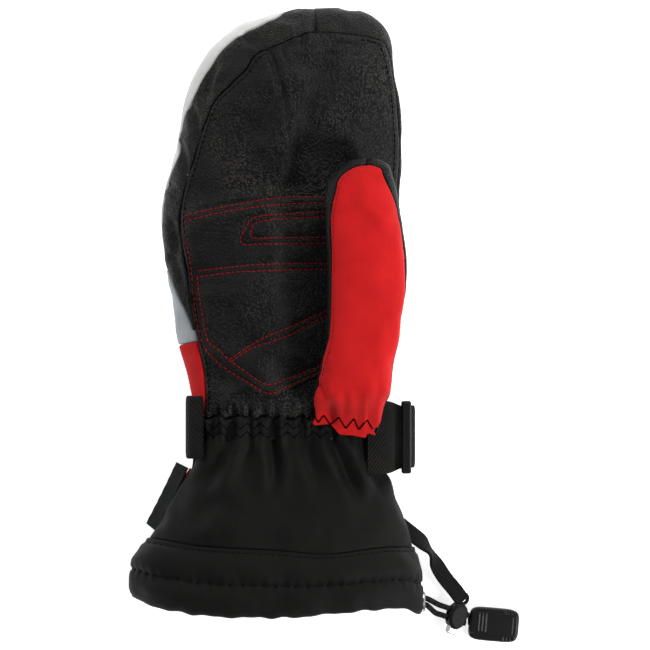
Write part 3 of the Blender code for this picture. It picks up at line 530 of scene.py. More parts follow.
def webbing(name, dark, light, pitch=1.5, angle=35.0):
    """Ribbed twill webbing: diagonal ridges broken by the yarns along it."""
    n = Nodes(name, dark, 0.72)
    n.set("Sheen Weight", 0.0)
    n.set("Specular IOR Level", 0.12)
    where = n.add("ShaderNodeUVMap").outputs["UV"]
    scale = ridge_scale(pitch)
    rib = n.wave(scale, "X", 0.25, n.turned(angle, where=where))
    yarn = n.wave(scale * 1.6, "Y", 0.3, where)
    height = n.maths("ADD", n.maths("MULTIPLY", rib, 0.75), n.maths("MULTIPLY", yarn, 0.25))
    slow = n.noise(120.0, 4.0)
    n.colours(n.maths("MULTIPLY", height, n.maths("ADD", slow, 0.4)), dark, light, 0.15, 0.75)
    normal = n.bump(height, 0.00035, 1.0)
    return n.finish(n.bump(n.noise(1800.0, 2.0), 0.00006, 0.7, normal))


def plastic(name, colour, roughness, grain=0.00002, scale=1500.0, **sockets):
    n = Nodes(name, colour, roughness, **sockets)
    n.rough(n.noise(90.0, 4.0), roughness - 0.06, roughness + 0.08)
    normal = n.bump(n.noise(60.0, 2.0), 0.0002, 0.15)
    return n.finish(n.bump(n.noise(scale, 2.0), grain, 0.8, normal))


def fleece(name, dark, light):
    n = Nodes(name, dark, 0.95)
    n.set("Sheen Weight", 0.5)
    n.set("Specular IOR Level", 0.2)
    tufts = n.noise(900.0, 4.0, 0.7)
    n.colours(tufts, dark, light, 0.35, 0.7)
    return n.finish(n.bump(tufts, 0.0006, 1.0, n.bump(n.noise(120.0, 3.0), 0.001, 0.4)))


def thread(name, dark, light):
    n = Nodes(name, dark, 0.8)
    n.set("Specular IOR Level", 0.03)
    twist = n.wave(420.0, "DIAGONAL", 0.5)
    n.colours(twist, dark, light, 0.2, 0.8)
    return n.finish(n.bump(twist, 0.00006, 1.0))


def braid(name, dark, light):
    n = Nodes(name, dark, 0.8)
    n.set("Specular IOR Level", 0.15)
    one = n.wave(230.0, "DIAGONAL", 0.3)
    two = n.wave(230.0, "DIAGONAL", 0.3, n.turned(90.0))
    height = n.maths("MAXIMUM", one, two)
    n.colours(height, dark, light, 0.4, 0.9)
    return n.finish(n.bump(height, 0.0002, 1.0))


def make_looks():
    return {
        "palm": leather("leather_palm", (0.0012, 0.0011, 0.0012), (0.036, 0.033, 0.029)),
        "heel": leather("leather_heel", (0.0020, 0.0019, 0.0020), (0.033, 0.030, 0.027), (0.38, 0.54)),
        "side": leather("leather_side", (0.0050, 0.0045, 0.0042), (0.034, 0.030, 0.027), (0.34, 0.5)),
        "red": woven("softshell_red_face", (0.50, 0.006, 0.007), (0.66, 0.013, 0.014), 0.55, 0.82),
        "white": woven("softshell_white_face", (0.68, 0.68, 0.67), (0.80, 0.80, 0.79), 0.55, 0.85),
        "grey": woven("reflective_grey_face", (0.33, 0.36, 0.39), (0.46, 0.49, 0.51), 0.45, 0.45,
                      sheen=0.0),
        "cuff": woven("softshell_black_face", (0.0018, 0.0016, 0.0013), (0.0044, 0.0039, 0.0033), 0.6,
                      0.66),
        "webbing": webbing("webbing_black_face", (0.0012, 0.0012, 0.0011), (0.014, 0.013, 0.012)),
        "tape": webbing("tape_black_face", (0.002, 0.002, 0.002), (0.016, 0.016, 0.015), 0.9, 30.0),
        "hook": fleece("hook_tape_face", (0.006, 0.006, 0.006), (0.035, 0.035, 0.036)),
        "lining": fleece("lining_face", (0.010, 0.010, 0.011), (0.045, 0.045, 0.048)),
        "membrane": plastic("membrane_face", (0.70, 0.72, 0.74), 0.5),
        "insulation": fleece("insulation_face", (0.42, 0.42, 0.40), (0.66, 0.66, 0.63)),
        "red_thread": thread("red_thread", (0.20, 0.004, 0.006), (0.42, 0.012, 0.016)),
        "black_thread": thread("black_thread", (0.0005, 0.0005, 0.0005), (0.002, 0.002, 0.002)),
        "grey_thread": thread("grey_thread", (0.001, 0.001, 0.001), (0.004, 0.004, 0.004)),
        "piping": woven("piping_red_face", (0.40, 0.010, 0.012), (0.58, 0.030, 0.032), 0.4, 0.55),
        "label": woven("label_face", (0.006, 0.008, 0.008), (0.022, 0.027, 0.027), 0.5, 0.6, twill=0.0),
        "plastic": plastic("ring_plastic_face", (0.005, 0.005, 0.0055), 0.2, Specular_IOR_Level=0.6),
        "lock": plastic("lock_plastic_face", (0.004, 0.004, 0.0045), 0.6, Specular_IOR_Level=0.2),
        "clear": plastic("clear_plastic_face", (0.56, 0.56, 0.55), 0.16, Transmission_Weight=0.2),
        "rubber": plastic("rubber_black_face", (0.0050, 0.0050, 0.0052), 0.40, 0.00003, 2200.0,
                          Specular_IOR_Level=0.3),
        "cord": braid("cord_black_face", (0.002, 0.002, 0.002), (0.012, 0.012, 0.012)),
        "steel": plastic("eyelet_steel_face", (0.34, 0.33, 0.32), 0.3, Metallic=1.0),
        "spring": plastic("spring_steel_face", (0.62, 0.62, 0.62), 0.25, Metallic=1.0),
    }


# ---- padding, by cloth simulation ----
CLOTH_FRAMES = 20
CLOTH_FULLNESS = 0.03
SIDEWAYS_CAP = 1.2
SEAM_STEP = 1.5
# A point near the skin moves with this many of the skin's points, mostly those within this reach.
FIELD_POINTS = 7
FIELD_REACH = 4.5


class Field:
    """How far a simulated skin moved, read at any point near it."""

    def __init__(self, rest, moves):
        self.moves = moves
        self.still = not np.any(np.abs(moves) > 1e-9)
        self.tree = point_tree(rest)

    def at(self, points):
        flat = np.asarray(points, float).reshape(-1, 3)
        result = np.zeros_like(flat)
        if not self.still:
            for i, point in enumerate(flat):
                found = self.tree.find_n(point, FIELD_POINTS)
                weights = np.array([math.exp(-(d / FIELD_REACH) ** 2) + 1e-9 for _, _, d in found])
                result[i] = weights @ self.moves[[k for _, k, _ in found]] / weights.sum()
        return result.reshape(np.shape(points))


def point_tree(points):
    tree = KDTree(len(points))
    for i, point in enumerate(points):
        tree.insert(point, i)
    tree.balance()
    return tree


def skin_object(name, rest, rows, columns):
    """A closed skin from rings of points and one last point that is the tip."""
    faces = [list(map(int, f)) for f in grid_faces(rows, columns, 0, True, True)]
    pole = len(rest) - 1
    faces += [[pole, c, (c + 1) % columns] for c in range(columns)]
    mesh = bpy.data.meshes.new(name)
    mesh.from_pydata((rest * MM).tolist(), [], faces)
    skin = bpy.data.objects.new(name, mesh)
    bpy.context.scene.collection.objects.link(skin)
    return skin


def hold_seams(skin, rest, seams, reach):
    """Pin the points of the skin that lie within reach of a seam."""
    tree = point_tree(seams)
    group = skin.vertex_groups.new(name="held")
    for i, point in enumerate(rest):
        if tree.find(point)[2] < reach:
            group.add([i], 1.0, "REPLACE")


def blown_up(skin, rest, pressure):
    """Run the cloth simulation and return how far each point moved, in millimetres."""
    cloth = skin.modifiers.new("puff", "CLOTH")
    settings = cloth.settings
    settings.quality = 6
    settings.mass = 0.2
    settings.tension_stiffness = settings.compression_stiffness = 15
    settings.shear_stiffness = 6
    settings.bending_stiffness = 0.35
    settings.use_pressure = True
    settings.uniform_pressure_force = pressure
    settings.shrink_min = -CLOTH_FULLNESS
    settings.vertex_group_mass = "held"
    settings.effector_weights.gravity = 0.0
    cloth.collision_settings.use_collision = False
    scene = bpy.context.scene
    scene.frame_start, scene.frame_end = 1, CLOTH_FRAMES
    cloth.point_cache.frame_start, cloth.point_cache.frame_end = 1, CLOTH_FRAMES
    for frame_number in range(1, CLOTH_FRAMES + 1):
        scene.frame_set(frame_number)
    evaluated = skin.evaluated_get(bpy.context.evaluated_depsgraph_get())
    after = np.zeros(len(rest) * 3)
    evaluated.data.vertices.foreach_get("co", after)
    moves = after.reshape(-1, 3) / MM - rest
    scene.frame_set(1)
    bpy.data.objects.remove(skin)
    return moves


def capped(moves, normal, cap_out, cap_in):
    """Moves kept under a limit outwards, one inwards and one along the skin."""
    along = np.sum(moves * normal, -1, keepdims=True)
    sideways = moves - normal * along
    size = np.linalg.norm(sideways, axis=-1, keepdims=True)
    sideways *= np.minimum(1.0, SIDEWAYS_CAP / np.maximum(size, 1e-9))
    along = np.where(along > 0, cap_out * np.tanh(along / cap_out), cap_in * np.tanh(along / cap_in))
    return normal * along + sideways


def puffed(name, tube, stop, columns, pitch, seams, cap_out, cap_in, pressure):
    """Blow up the tube's skin while its seams hold it, and return how far it moved."""
    rows = np.concatenate([[0.4, 1.6, 3.8, 7.0], np.linspace(11.0, stop, int(stop / pitch))])
    grid = tube.ring(rows, columns)
    left, _, _, wide, _ = tube.section(0.0)
    rest = np.concatenate([grid.reshape(-1, 3), [[float(left), tube.tip_y, float(wide)]]])
    skin = skin_object(name, rest, len(rows), columns)
    hold_seams(skin, rest, seams, pitch * 0.62)
    moves = blown_up(skin, rest, pressure)
    normal = outward(grid, grid_normals(grid, True), grid.mean(1, keepdims=True)).reshape(-1, 3)
    normal = np.concatenate([normal, [[0.0, 1.0, 0.0]]])
    return Field(rest, capped(moves, normal, cap_out, cap_in))


def seam_points():
    """Points close together along the seams that hold the hand's padding."""
    d = np.arange(0.0, WRIST_SEAM, SEAM_STEP)
    lines = [HAND.at_inset(d, -1, PALM_LEFT(d)), HAND.at_inset(d, 1, PALM_RIGHT(d)),
             HAND.at_inset(d, -1, BACK_LEFT(d)), HAND.at_inset(d, 1, BACK_RIGHT(d))]
    for depth in (WRIST_SEAM, WRIST_SEAM + 8.0, HEM_SEAM, HEM_SEAM + HEM_STITCH, MOUTH):
        lines.append(HAND.ring([depth], 240)[0])
    for depth in (WHITE_END, GREY_END):
        lines.append(HAND.ring([depth], 200)[0][100:])
    cuff = np.arange(WRIST_SEAM, MOUTH, SEAM_STEP)
    for side in (-1, 1):
        lines.append(HAND.at_inset(cuff, side, np.zeros_like(cuff)))
    return np.concatenate(lines)


def thumb_seam_points():
    d = np.arange(0.0, THUMB.last, SEAM_STEP)
    return np.concatenate([THUMB.at_inset(d, -1, RIM_LEFT(d)), THUMB.at_inset(d, 1, RIM_RIGHT(d))])


# ---- creases and quilting ----
def nearest_on(points, path):
    """Distance in plan from points to a line, and how far along it the nearest point is."""
    path = np.asarray(path, float)
    best = np.full(points.shape[:-1], 1e9)
    share = np.zeros(points.shape[:-1])
    for i, (a, b) in enumerate(zip(path, path[1:])):
        ab = b - a
        t = np.clip(((points[..., :2] - a) @ ab) / max(ab @ ab, 1e-9), 0, 1)
        gap = np.linalg.norm(points[..., :2] - (a + t[..., None] * ab), axis=-1)
        share = np.where(gap < best, (i + t) / (len(path) - 1), share)
        best = np.minimum(best, gap)
    return best, share


def plan(*pairs):
    return [np.array(pair, float) for pair in pairs]


def smooth_path(points, per=8):
    """A smooth path through plan points or space points."""
    points = [np.asarray(p, float) for p in points]
    ends = [2 * points[0] - points[1], *points, 2 * points[-1] - points[-2]]
    result = []
    for a, b, c, d in zip(ends, ends[1:], ends[2:], ends[3:]):
        for t in np.linspace(0, 1, per, endpoint=False):
            result.append(0.5 * (2 * b + (c - a) * t + (2 * a - 5 * b + 4 * c - d) * t * t
                                 + (3 * b - a - 3 * c + d) * t ** 3))
    result.append(points[-1])
    return np.array(result)


# Each crease: its path in plan, its half width and its depth, for the palm side.
PALM_CREASES = (
    (plan((-6, 141), (-3.8, 134), (1.2, 119), (4.7, 101), (5.4, 88)), 1.5, 1.25),
    (plan((12, 148), (12.2, 144), (12.6, 134)), 1.6, 0.9),
    (plan((1.5, 139), (3.0, 135), (6.5, 127)), 1.3, 0.7),
    (plan((19, 131), (25, 133.1), (38, 136.1), (46, 134)), 1.3, 0.6),
    (plan((24, 136), (30, 133.1), (43, 131), (52, 129)), 1.4, 0.5),
    (plan((27, 140), (34, 140.5), (44, 138)), 1.2, 0.45),
    (plan((-36, 104), (-32.5, 98.4), (-25.6, 81.5), (-21, 68)), 2.4, 0.6),
    (plan((-22, 118), (-15, 98), (-10, 70)), 5.0, 0.7),
    (plan((20, 104), (17, 88), (14, 66)), 8.0, 1.5),
    (plan((40, 120), (34, 104), (24, 92)), 5.0, 0.6),
    (plan((-46, 61), (-20, 64), (10, 66.5), (24, 66)), 4.0, 0.6),
)
SIDE_CREASES = (
    (plan((-31, 131), (-35.0, 123.2), (-37.5, 111.3), (-36.0, 97.4)), 1.8, 1.6),
    (plan((-45.5, 110), (-43.9, 104.4), (-42.0, 91.5), (-42.5, 84)), 1.7, 1.5),
    (plan((-40, 117), (-40.5, 108), (-38.6, 99)), 1.5, 1.0),
    (plan((-52.5, 90), (-50.4, 85.5), (-47.4, 68.6), (-48, 60)), 1.8, 1.5),
    (plan((-58, 67), (-55.9, 65.6), (-48.4, 57.8)), 1.8, 1.5),
    (plan((-57, 50), (-53.5, 38), (-52, 24)), 1.8, 1.2),
    (plan((-20, 147), (-14, 141), (-8, 139)), 1.6, 0.8),
    (plan((-57, 33), (-52, 22), (-48.5, 10)), 1.6, 0.9),
    (plan((30, 155), (34, 149), (36, 146)), 1.5, 0.6),
)
CUFF_CREASES = (
    (plan((-1, -52), (-2.5, -66), (-1.5, -82), (-4.0, -102)), 2.7, 3.9),
    (plan((25.5, -58), (31, -72), (39.4, -90), (45, -102)), 3.0, 3.8),
    (plan((-22, -54), (-29, -74), (-41, -100)), 3.6, 2.4),
    (plan((12, -52), (16, -74), (24, -100)), 3.0, 2.0),
    (plan((-11, -52), (-15, -70), (-21, -86)), 2.4, 1.9),
    (plan((42, -60), (50, -80), (60, -104)), 3.4, 2.4),
    (plan((-34, -56), (-41, -72), (-52, -90)), 2.6, 1.8),
    (plan((6, -50), (7, -62), (5, -76)), 2.0, 1.6),
    (plan((-4, -98), (10, -105), (27, -99)), 4.6, 1.0),
    (plan((-46, -106), (-30, -100), (-14, -104)), 4.2, 0.9),
)


# The soft ridge beside a crease, as a share of the crease's depth.
CREASE_RIDGE = 0.35


def creased(points, normal, creases):
    """Press creases in along their paths, deep in the middle and fading towards both ends."""
    moved = np.zeros(points.shape[:-1])
    for path, width, depth in creases:
        gap, share = nearest_on(points, smooth_path(path))
        here = depth * smoothstep(share / 0.2) * smoothstep((1 - share) / 0.45)
        moved -= here * np.exp(-(gap / width) ** 2)
        moved += CREASE_RIDGE * here * np.exp(-((gap - 2.2 * width) / (1.1 * width)) ** 2)
    return points + normal * moved[..., None]


def ripple(points, seed, size, height):
    """Slow, shapeless unevenness, the same every time."""
    chosen = random.Random(seed)
    moved = np.zeros(points.shape[:-1])
    for _ in range(14):
        direction = np.array([chosen.uniform(-1, 1), chosen.uniform(-1, 1), chosen.uniform(-0.6, 0.6)])
        direction /= np.linalg.norm(direction)
        wave = chosen.uniform(0.7, 1.6) * size
        moved += np.sin(points @ direction * (2 * math.pi / wave) + chosen.uniform(0, 6.28))
    return moved * height / 3.7


# ---- the hand ----
def steadied(grid, normal, tube):
    """Where a grid is too pinched to have a sound normal, use the way out from the tube's middle."""
    middle_y = np.minimum(grid[..., 1], tube.tip_y - 20.0)
    left, right, _, wide, _ = tube.section(tube.tip_y - middle_y)
    radial = grid - np.stack([(left + right) / 2, middle_y, wide], -1)
    radial = unit(radial)
    poor = (np.sum(radial * normal, -1) < 0.12) & (grid[..., 1] > tube.tip_y - 12.0)
    blank = np.linalg.norm(normal, axis=-1) < 0.5
    return np.where((poor | blank)[..., None], radial, normal)


def gathered(points):
    """Small gathers each side of the wrist seam, where the elastic draws the fabric in."""
    y = points[..., 1]
    above = np.exp(-(np.maximum(y - WRIST_Y, 0) / 6.0) ** 2)
    below = np.exp(-(np.maximum(WRIST_Y - y, 0) / 15.0) ** 2)
    x = points[..., 0]
    phase = 1.2 * np.sin(x / 9.0) + 0.5 * np.sin(y / 6.0)
    wave = np.sin(x * 2 * math.pi / 7.6 + phase) + 0.45 * np.sin(x * 2 * math.pi / 4.3 - phase)
    return (1.25 * wave - 0.4) * above * below * smoothstep((y + 76.0) / 12.0)


def wavy_seam(points):
    """The wrist seam wanders where it is gathered."""
    x, y = points[..., 0], points[..., 1]
    shift = 0.8 * np.sin(x * 2 * math.pi / 11.0 + np.sin(x / 6.0)) + 0.35 * np.sin(x * 2 * math.pi / 5.3)
    near = np.exp(-((y - WRIST_Y) / 7.0) ** 2)
    points[..., 1] += shift * near * smoothstep((points[..., 2] - 22.0) / 8.0)
    return points


def hand_panel(name, node, rows, columns, field, look, slot, seed, creases=(), radius=1.3, uneven=0.25,
               hang=None):
    """A panel of the hand or cuff: puffed out, creased, and turned into its seams at its borders."""
    grid = resampled(rows, columns, EDGES)
    centre = grid * (0.0, 1.0, 0.0) + (grid[..., 0].mean(), 0.0, 20.0)
    normal = steadied(grid, outward(grid, grid_normals(grid), centre), HAND)
    moved = grid + field.at(grid)
    moved = moved + normal * (ripple(grid, seed, 26.0, uneven) + gathered(grid))[..., None]
    moved = rolled(creased(moved, normal, creases), normal, radius)
    moved[..., 2] = np.maximum(moved[..., 2], 0.0)
    moved = wavy_seam(moved)
    if hang:
        moved = hang(moved)
    return sheet_mesh(name, moved, normal, SHELL, look, body="mitten", stands_for=(node,), slot=slot)


def make_palm(looks, field):
    d = depths(0.05, WRIST_SEAM - SEAM_GAP, 190, 1.25)
    rows = HAND.face(d, (PALM_LEFT(d) + SEAM_GAP, PALM_RIGHT(d) + SEAM_GAP), True, 240)
    return hand_panel("palm_leather", "palm_panel", rows, 100, field, looks["palm"], "leather_black", 3,
                      PALM_CREASES)


def make_gussets(looks, field):
    made = []
    for name, node, side, stop, columns in (("pinky_side_leather", "pinky_side_gusset", -1, GUSSET_END, 22),
                                            ("index_side_leather", "index_side_gusset", 1, WRIST_SEAM, 14)):
        d = depths(0.0, stop - SEAM_GAP, 170, 1.3)
        palm_seam, back_seam = (PALM_LEFT, BACK_LEFT) if side < 0 else (PALM_RIGHT, BACK_RIGHT)
        rows = HAND.edge(d, side, palm_seam(d) - SEAM_GAP, back_seam(d) + SEAM_GAP, 90)
        made.append(hand_panel(name, node, rows, columns, field, looks["side"], "leather_black", 7 + side,
                               SIDE_CREASES, 1.1))
    return made


def make_back(looks, field):
    """Three bands, which run round the little-finger edge up to the seam there."""
    bands = (
        ("back_finger_softshell", "back_finger_panel", 0.3, WHITE_END, 1.25, "white", "softshell_white"),
        ("back_reflective_band", "back_reflective_panel", WHITE_END, GREY_END, 1.0, "grey",
         "reflective_grey"),
        ("back_wrist_softshell", "back_wrist_panel", GREY_END, WRIST_SEAM, 1.0, "red", "softshell_red"),
    )
    made = []
    for name, node, start, stop, power, look, slot in bands:
        count = max(24, int((stop - start) / 1.3))
        d = depths(start + SEAM_GAP, stop - SEAM_GAP, count, power)
        left = np.where(d > GUSSET_END, PALM_LEFT(d), BACK_LEFT(d)) - SEAM_GAP
        under = np.minimum(left, 0.0) - 0.5
        lead = HAND.edge(d, -1, left, under, 40)
        face = HAND.face(d, (under, BACK_RIGHT(d) - SEAM_GAP), False, 200)
        rows = np.concatenate([lead, face[:, 1:]], 1)
        made.append(hand_panel(name, node, rows, 100, field, looks[look], slot, 11, radius=1.1))
    return made


# How far the hem's seam and the mouth shift along the hand, by the place across it.
SEAM_SAG = Curve((-76.0, -64.6, -37.0, -3.0, 25.0, 59.0, 75.0), (3.4, 2.6, -1.0, -2.6, -4.7, -1.6, -2.0))
MOUTH_SAG = Curve((-77.0, -68.0, -55.0, -30.0, 0.0, 31.0, 57.0, 66.0, 76.0),
                  (12.6, 9.8, 6.6, 3.9, 3.4, 5.6, 7.6, 7.2, 3.0))


def sagged(points):
    """The hem hangs a little unevenly: shift points of the cuff along the hand."""
    points = np.array(points, float)
    x, y = points[..., 0], points[..., 1]
    share = np.clip((TIP_Y - HEM_SEAM - y) / (MOUTH - HEM_SEAM), 0, 1)
    lumps = 0.35 * np.sin(x / 3.1 + 0.8 * np.sin(x / 7.0)) + 0.2 * np.sin(x / 1.7)
    shift = SEAM_SAG(x) * (1 - share) + (MOUTH_SAG(x) + lumps) * share
    points[..., 1] += shift * smoothstep((-88.0 - y) / 33.0)
    return points


def make_gauntlet(looks, field):
    d = depths(WRIST_SEAM + SEAM_GAP, HEM_SEAM - SEAM_GAP, 60)
    made = []
    for name, node, top in (("gauntlet_palm_softshell", "gauntlet_palm_panel", True),
                            ("gauntlet_back_softshell", "gauntlet_back_panel", False)):
        inset = np.full_like(d, 0.2 if top else -0.2)
        rows = HAND.face(d, (inset, inset), top, 240)
        made.append(hand_panel(name, node, rows, 130, field, looks["cuff"], "softshell_black", 5,
                               CUFF_CREASES if top else (), uneven=0.55, hang=sagged))
    return made


# The width of the cord's channel after the hem's second line of stitches, and where the facing ends.
CHANNEL = 17.0
FACING_END = 288.5
HEM_COLUMNS = 300
HEM_PUCKERS = 62


def hem_relief(along):
    """How far the hem stands out, by the way from its seam: two padded rolls and two stitched grooves."""
    from_stitch = along - HEM_STITCH
    band = 0.8 * np.sin(np.clip(along / HEM_STITCH, 0, 1) * math.pi)
    channel = 1.1 * np.sin(np.clip(from_stitch / CHANNEL, 0, 1) * math.pi) ** 0.7
    turn = np.arange(HEM_COLUMNS) / HEM_COLUMNS * 2 * math.pi
    pucker = 0.35 * np.sin(turn * HEM_PUCKERS)[None, :] * np.exp(-(from_stitch / 4.0) ** 2)
    groove = -0.7 * np.exp(-((along - 3.0) / 1.0) ** 2) - 0.9 * np.exp(-(from_stitch / 1.1) ** 2)
    return band + channel + pucker + groove


def hem_lip(outer, inner):
    """Rings round the mouth's rim, from the outer ring to the inner one."""
    rings = []
    for share in (0.25, 0.5, 0.75):
        angle = share * math.pi
        ring = outer * (1 + math.cos(angle)) / 2 + inner * (1 - math.cos(angle)) / 2
        rings.append(ring - np.array([0.0, 2.4 * math.sin(angle), 0.0]))
    return np.array(rings)


def make_hem(looks, field):
    """The padded hem: out over the band, round the mouth and back up inside as the facing."""
    d = depths(HEM_SEAM + SEAM_GAP, MOUTH, 34)
    outer = HAND.ring(d, HEM_COLUMNS)
    normal = outward(outer, grid_normals(outer, True), outer.mean(1, keepdims=True))
    along = np.broadcast_to((d - HEM_SEAM)[:, None], outer.shape[:2])
    relief = hem_relief(along) + ripple(outer, 21, 24.0, 0.35)
    moved = outer + field.at(outer) + normal * relief[..., None]
    moved[..., 2] = np.maximum(moved[..., 2], 0.0)
    inner = HAND.ring(np.linspace(MOUTH, FACING_END, 12), HEM_COLUMNS, 5.6)
    back = HAND.ring(np.linspace(FACING_END, MOUTH, 12), HEM_COLUMNS, 4.4)[:-1]
    rows = np.concatenate([moved, hem_lip(moved[-1], inner[0]), inner, back,
                           HAND.ring([MOUTH - 0.5], HEM_COLUMNS, 1.6),
                           HAND.ring([HEM_SEAM + 0.4], HEM_COLUMNS, 1.3)])
    rows[..., 2] = np.maximum(rows[..., 2], 0.0)
    rows = sagged(rows)
    first = np.arange(HEM_COLUMNS)
    after = (first + 1) % HEM_COLUMNS
    top = (len(rows) - 1) * HEM_COLUMNS
    closing = np.stack([top + first, top + after, after, first], -1)
    faces = np.concatenate([grid_faces(len(rows), HEM_COLUMNS, 0, True), closing])
    return mesh_object("hem_softshell", rows.reshape(-1, 3), faces, looks["cuff"],
                       body="mitten", stands_for=("hem_band", "hem_facing"), slot="softshell_black")


def sock_mesh(name, tube, rows, insets, look, field, columns=72, tip=0.0, **where):
    """An inner layer closed over the tip and open at its other end."""
    shells = []
    for face in (0, 1):
        inset = insets[face]
        rings = tube.ring(rows, columns, inset, np.max(inset) + tip)
        shells.append(rings + field.at(rings) * 0.6)
    left, _, _, wide, _ = tube.section(0.0)
    points, faces = [], []
    count = len(rows) * columns + 1
    for face, rings in enumerate(shells):
        start = face * count
        points.append(rings.reshape(-1, 3))
        points.append([[float(left), tube.tip_y - float(np.max(insets[face])) - tip, float(wide)]])
        faces.append(grid_faces(len(rows), columns, start, True, face == 1))
        around = np.arange(columns)
        cap = np.stack([np.full(columns, start + count - 1), start + (around + 1) % columns,
                        start + around], -1)
        faces.append(cap if face == 0 else cap[:, ::-1])
    end = (len(rows) - 1) * columns
    a, b = end + np.arange(columns), end + (np.arange(columns) + 1) % columns
    rim = np.stack([a, b, b + count, a + count], -1)
    listed = [list(map(int, f)) for block in [*faces, rim] for f in block]
    return mesh_object(name, np.concatenate(points), listed, look, **where)


def make_hand_layers(looks, field):
    rows = np.concatenate([0.7 + 42.3 * np.linspace(0, 1, 18) ** 1.6, np.arange(48.0, 190.0, 5.0)])
    layers = (
        ("hand_membrane_film", "hand_membrane", (2.0, 2.4), "membrane", "membrane_white", (202.0, 212.0)),
        ("hand_wadding", "hand_insulation", (3.0, 6.4), "insulation", "insulation_grey", (200.0,)),
    )
    for name, node, insets, look, slot, more in layers:
        full = np.array([*rows, *more])
        shell = sock_mesh(name, HAND, full, insets, looks[look], field, body="mitten",
                          stands_for=(node,), slot=slot)
    full = np.array([*rows, 196.0, 202.0, 208.0, 214.0, 220.0, 227.0])
    ease = smoothstep((full - 200.0) / 16.0)[:, None]
    insets = (7.1 + (3.4 - 7.1) * ease, 7.8 + (4.1 - 7.8) * ease)
    sock_mesh("hand_fleece_lining", HAND, full, insets, looks["lining"], field, body="mitten",
              stands_for=("hand_lining",), slot="lining_black")


def make_cuff_lining(looks, field):
    """The cuff's lining, which laps over the hem's facing at its end."""
    d = np.linspace(241.0, 294.0, 28)
    lap = smoothstep((d - 279.0) / 8.0)[:, None]
    ring = HAND.ring(d, 160, 5.4 + 1.5 * lap)
    normal = outward(ring, grid_normals(ring, True), ring.mean(1, keepdims=True))
    loose = (1 - lap)[..., None]
    ring = ring + (field.at(ring) * 0.5 + normal * ripple(ring, 9, 22.0, 0.3)[..., None]) * loose
    sheet_mesh("gauntlet_fleece_lining", sagged(ring - normal * 0.3), normal, 0.7, looks["lining"], True,
               body="mitten", stands_for=("gauntlet_lining",), slot="lining_black")


# ---- the thumb ----
# Where the thumb's gathered end lies along the hand, by the place across it.
THUMB_HEM = Curve((12.0, 18.9, 26.8, 32.8, 39.0, 45.7, 46.8, 52.0, 57.0, 62.0),
                  (-57.0, -59.3, -59.0, -64.2, -64.8, -65.9, -63.4, -65.0, -56.0, -50.0))


def root_drop(points):
    """How far along the thumb's base a point is: 0 on the thumb, 1 where it is sewn to the wrist."""
    return smoothstep((-42.0 - points[..., 1]) / 21.0)


def sewn_down(points, floor):
    """Bring the base of the thumb down onto the palm."""
    points = points.copy()
    points[..., 2] -= smoothstep((-12.0 - points[..., 1]) / 40.0) * 2.6
    share = root_drop(points)
    base = floor + (points[..., 2] - 41.0) * 0.10
    points[..., 2] = points[..., 2] * (1 - share) + base * share
    return points


# The edges of the thumb's base where it is sewn on, by the depth below its tip.
BASE_LEFT = Curve((118.0, 127.0, 139.0, 145.0), (20.3, 18.7, 18.4, 18.9))
BASE_RIGHT = Curve((118.0, 127.0, 139.0, 145.0), (58.5, 57.0, 53.6, 51.4))


def spread_base(points):
    """Keep the thumb's base as wide as it is sewn to the wrist."""
    points = points.copy()
    depth = THUMB_TIP_Y - points[..., 1]
    left, right = THUMB.section(depth)[:2]
    share = (points[..., 0] - left) / np.maximum(right - left, 1.0)
    wide = BASE_LEFT(depth) + share * (BASE_RIGHT(depth) - BASE_LEFT(depth))
    weight = smoothstep((depth - 116.0) / 10.0)
    points[..., 0] += (wide - points[..., 0]) * weight
    return points


def sewn_on(points, floor, shift=0.0):
    """Sew the base of a thumb panel to the wrist, with its end along the gathered line."""
    points = spread_base(sewn_down(points, floor))
    hang = smoothstep((-40.0 - points[..., 1]) / 24.0)
    points[..., 1] += (THUMB_HEM(points[..., 0]) + shift - points[-1:, :, 1]) * hang
    return points


def facing(grid, way):
    """Normals of a thumb panel turned up (1) or down (-1)."""
    normal = grid_normals(grid)
    normal = normal if normal[..., 2].sum() * way > 0 else -normal
    return steadied(grid, normal, THUMB)


THUMB_CREASES = (
    (plan((21.5, -34), (23.5, -46), (26, -56)), 2.2, 1.8),
    (plan((53, -30), (52.5, -44), (50, -56)), 2.4, 0.9),
    (plan((34, -40), (35, -50), (34, -58)), 1.8, 0.7),
)


def make_thumb_back(looks, field, d):
    """The red panel, gathered at its end."""
    rows = THUMB.face(d, (RIM_LEFT(d) + 0.1, RIM_RIGHT(d)), True, 160)
    grid = resampled(rows, 56, EDGES)
    normal = facing(grid, 1)
    x, y = grid[..., 0], grid[..., 1]
    gather = smoothstep((-38.0 - y) / 18.0)
    folds = 0.75 * np.sin(x * 2 * math.pi / 7.2 + 0.6 * np.sin(y / 7.0)) * gather
    moved = grid + field.at(grid) + normal * (folds + ripple(grid, 31, 22.0, 0.3))[..., None]
    moved = rolled(sewn_on(creased(moved, normal, THUMB_CREASES), 42.2), normal, 0.8)
    return sheet_mesh("thumb_red_softshell", moved, normal, 1.1, looks["red"],
                      stands_for=("thumb_back_panel",), slot="softshell_red")


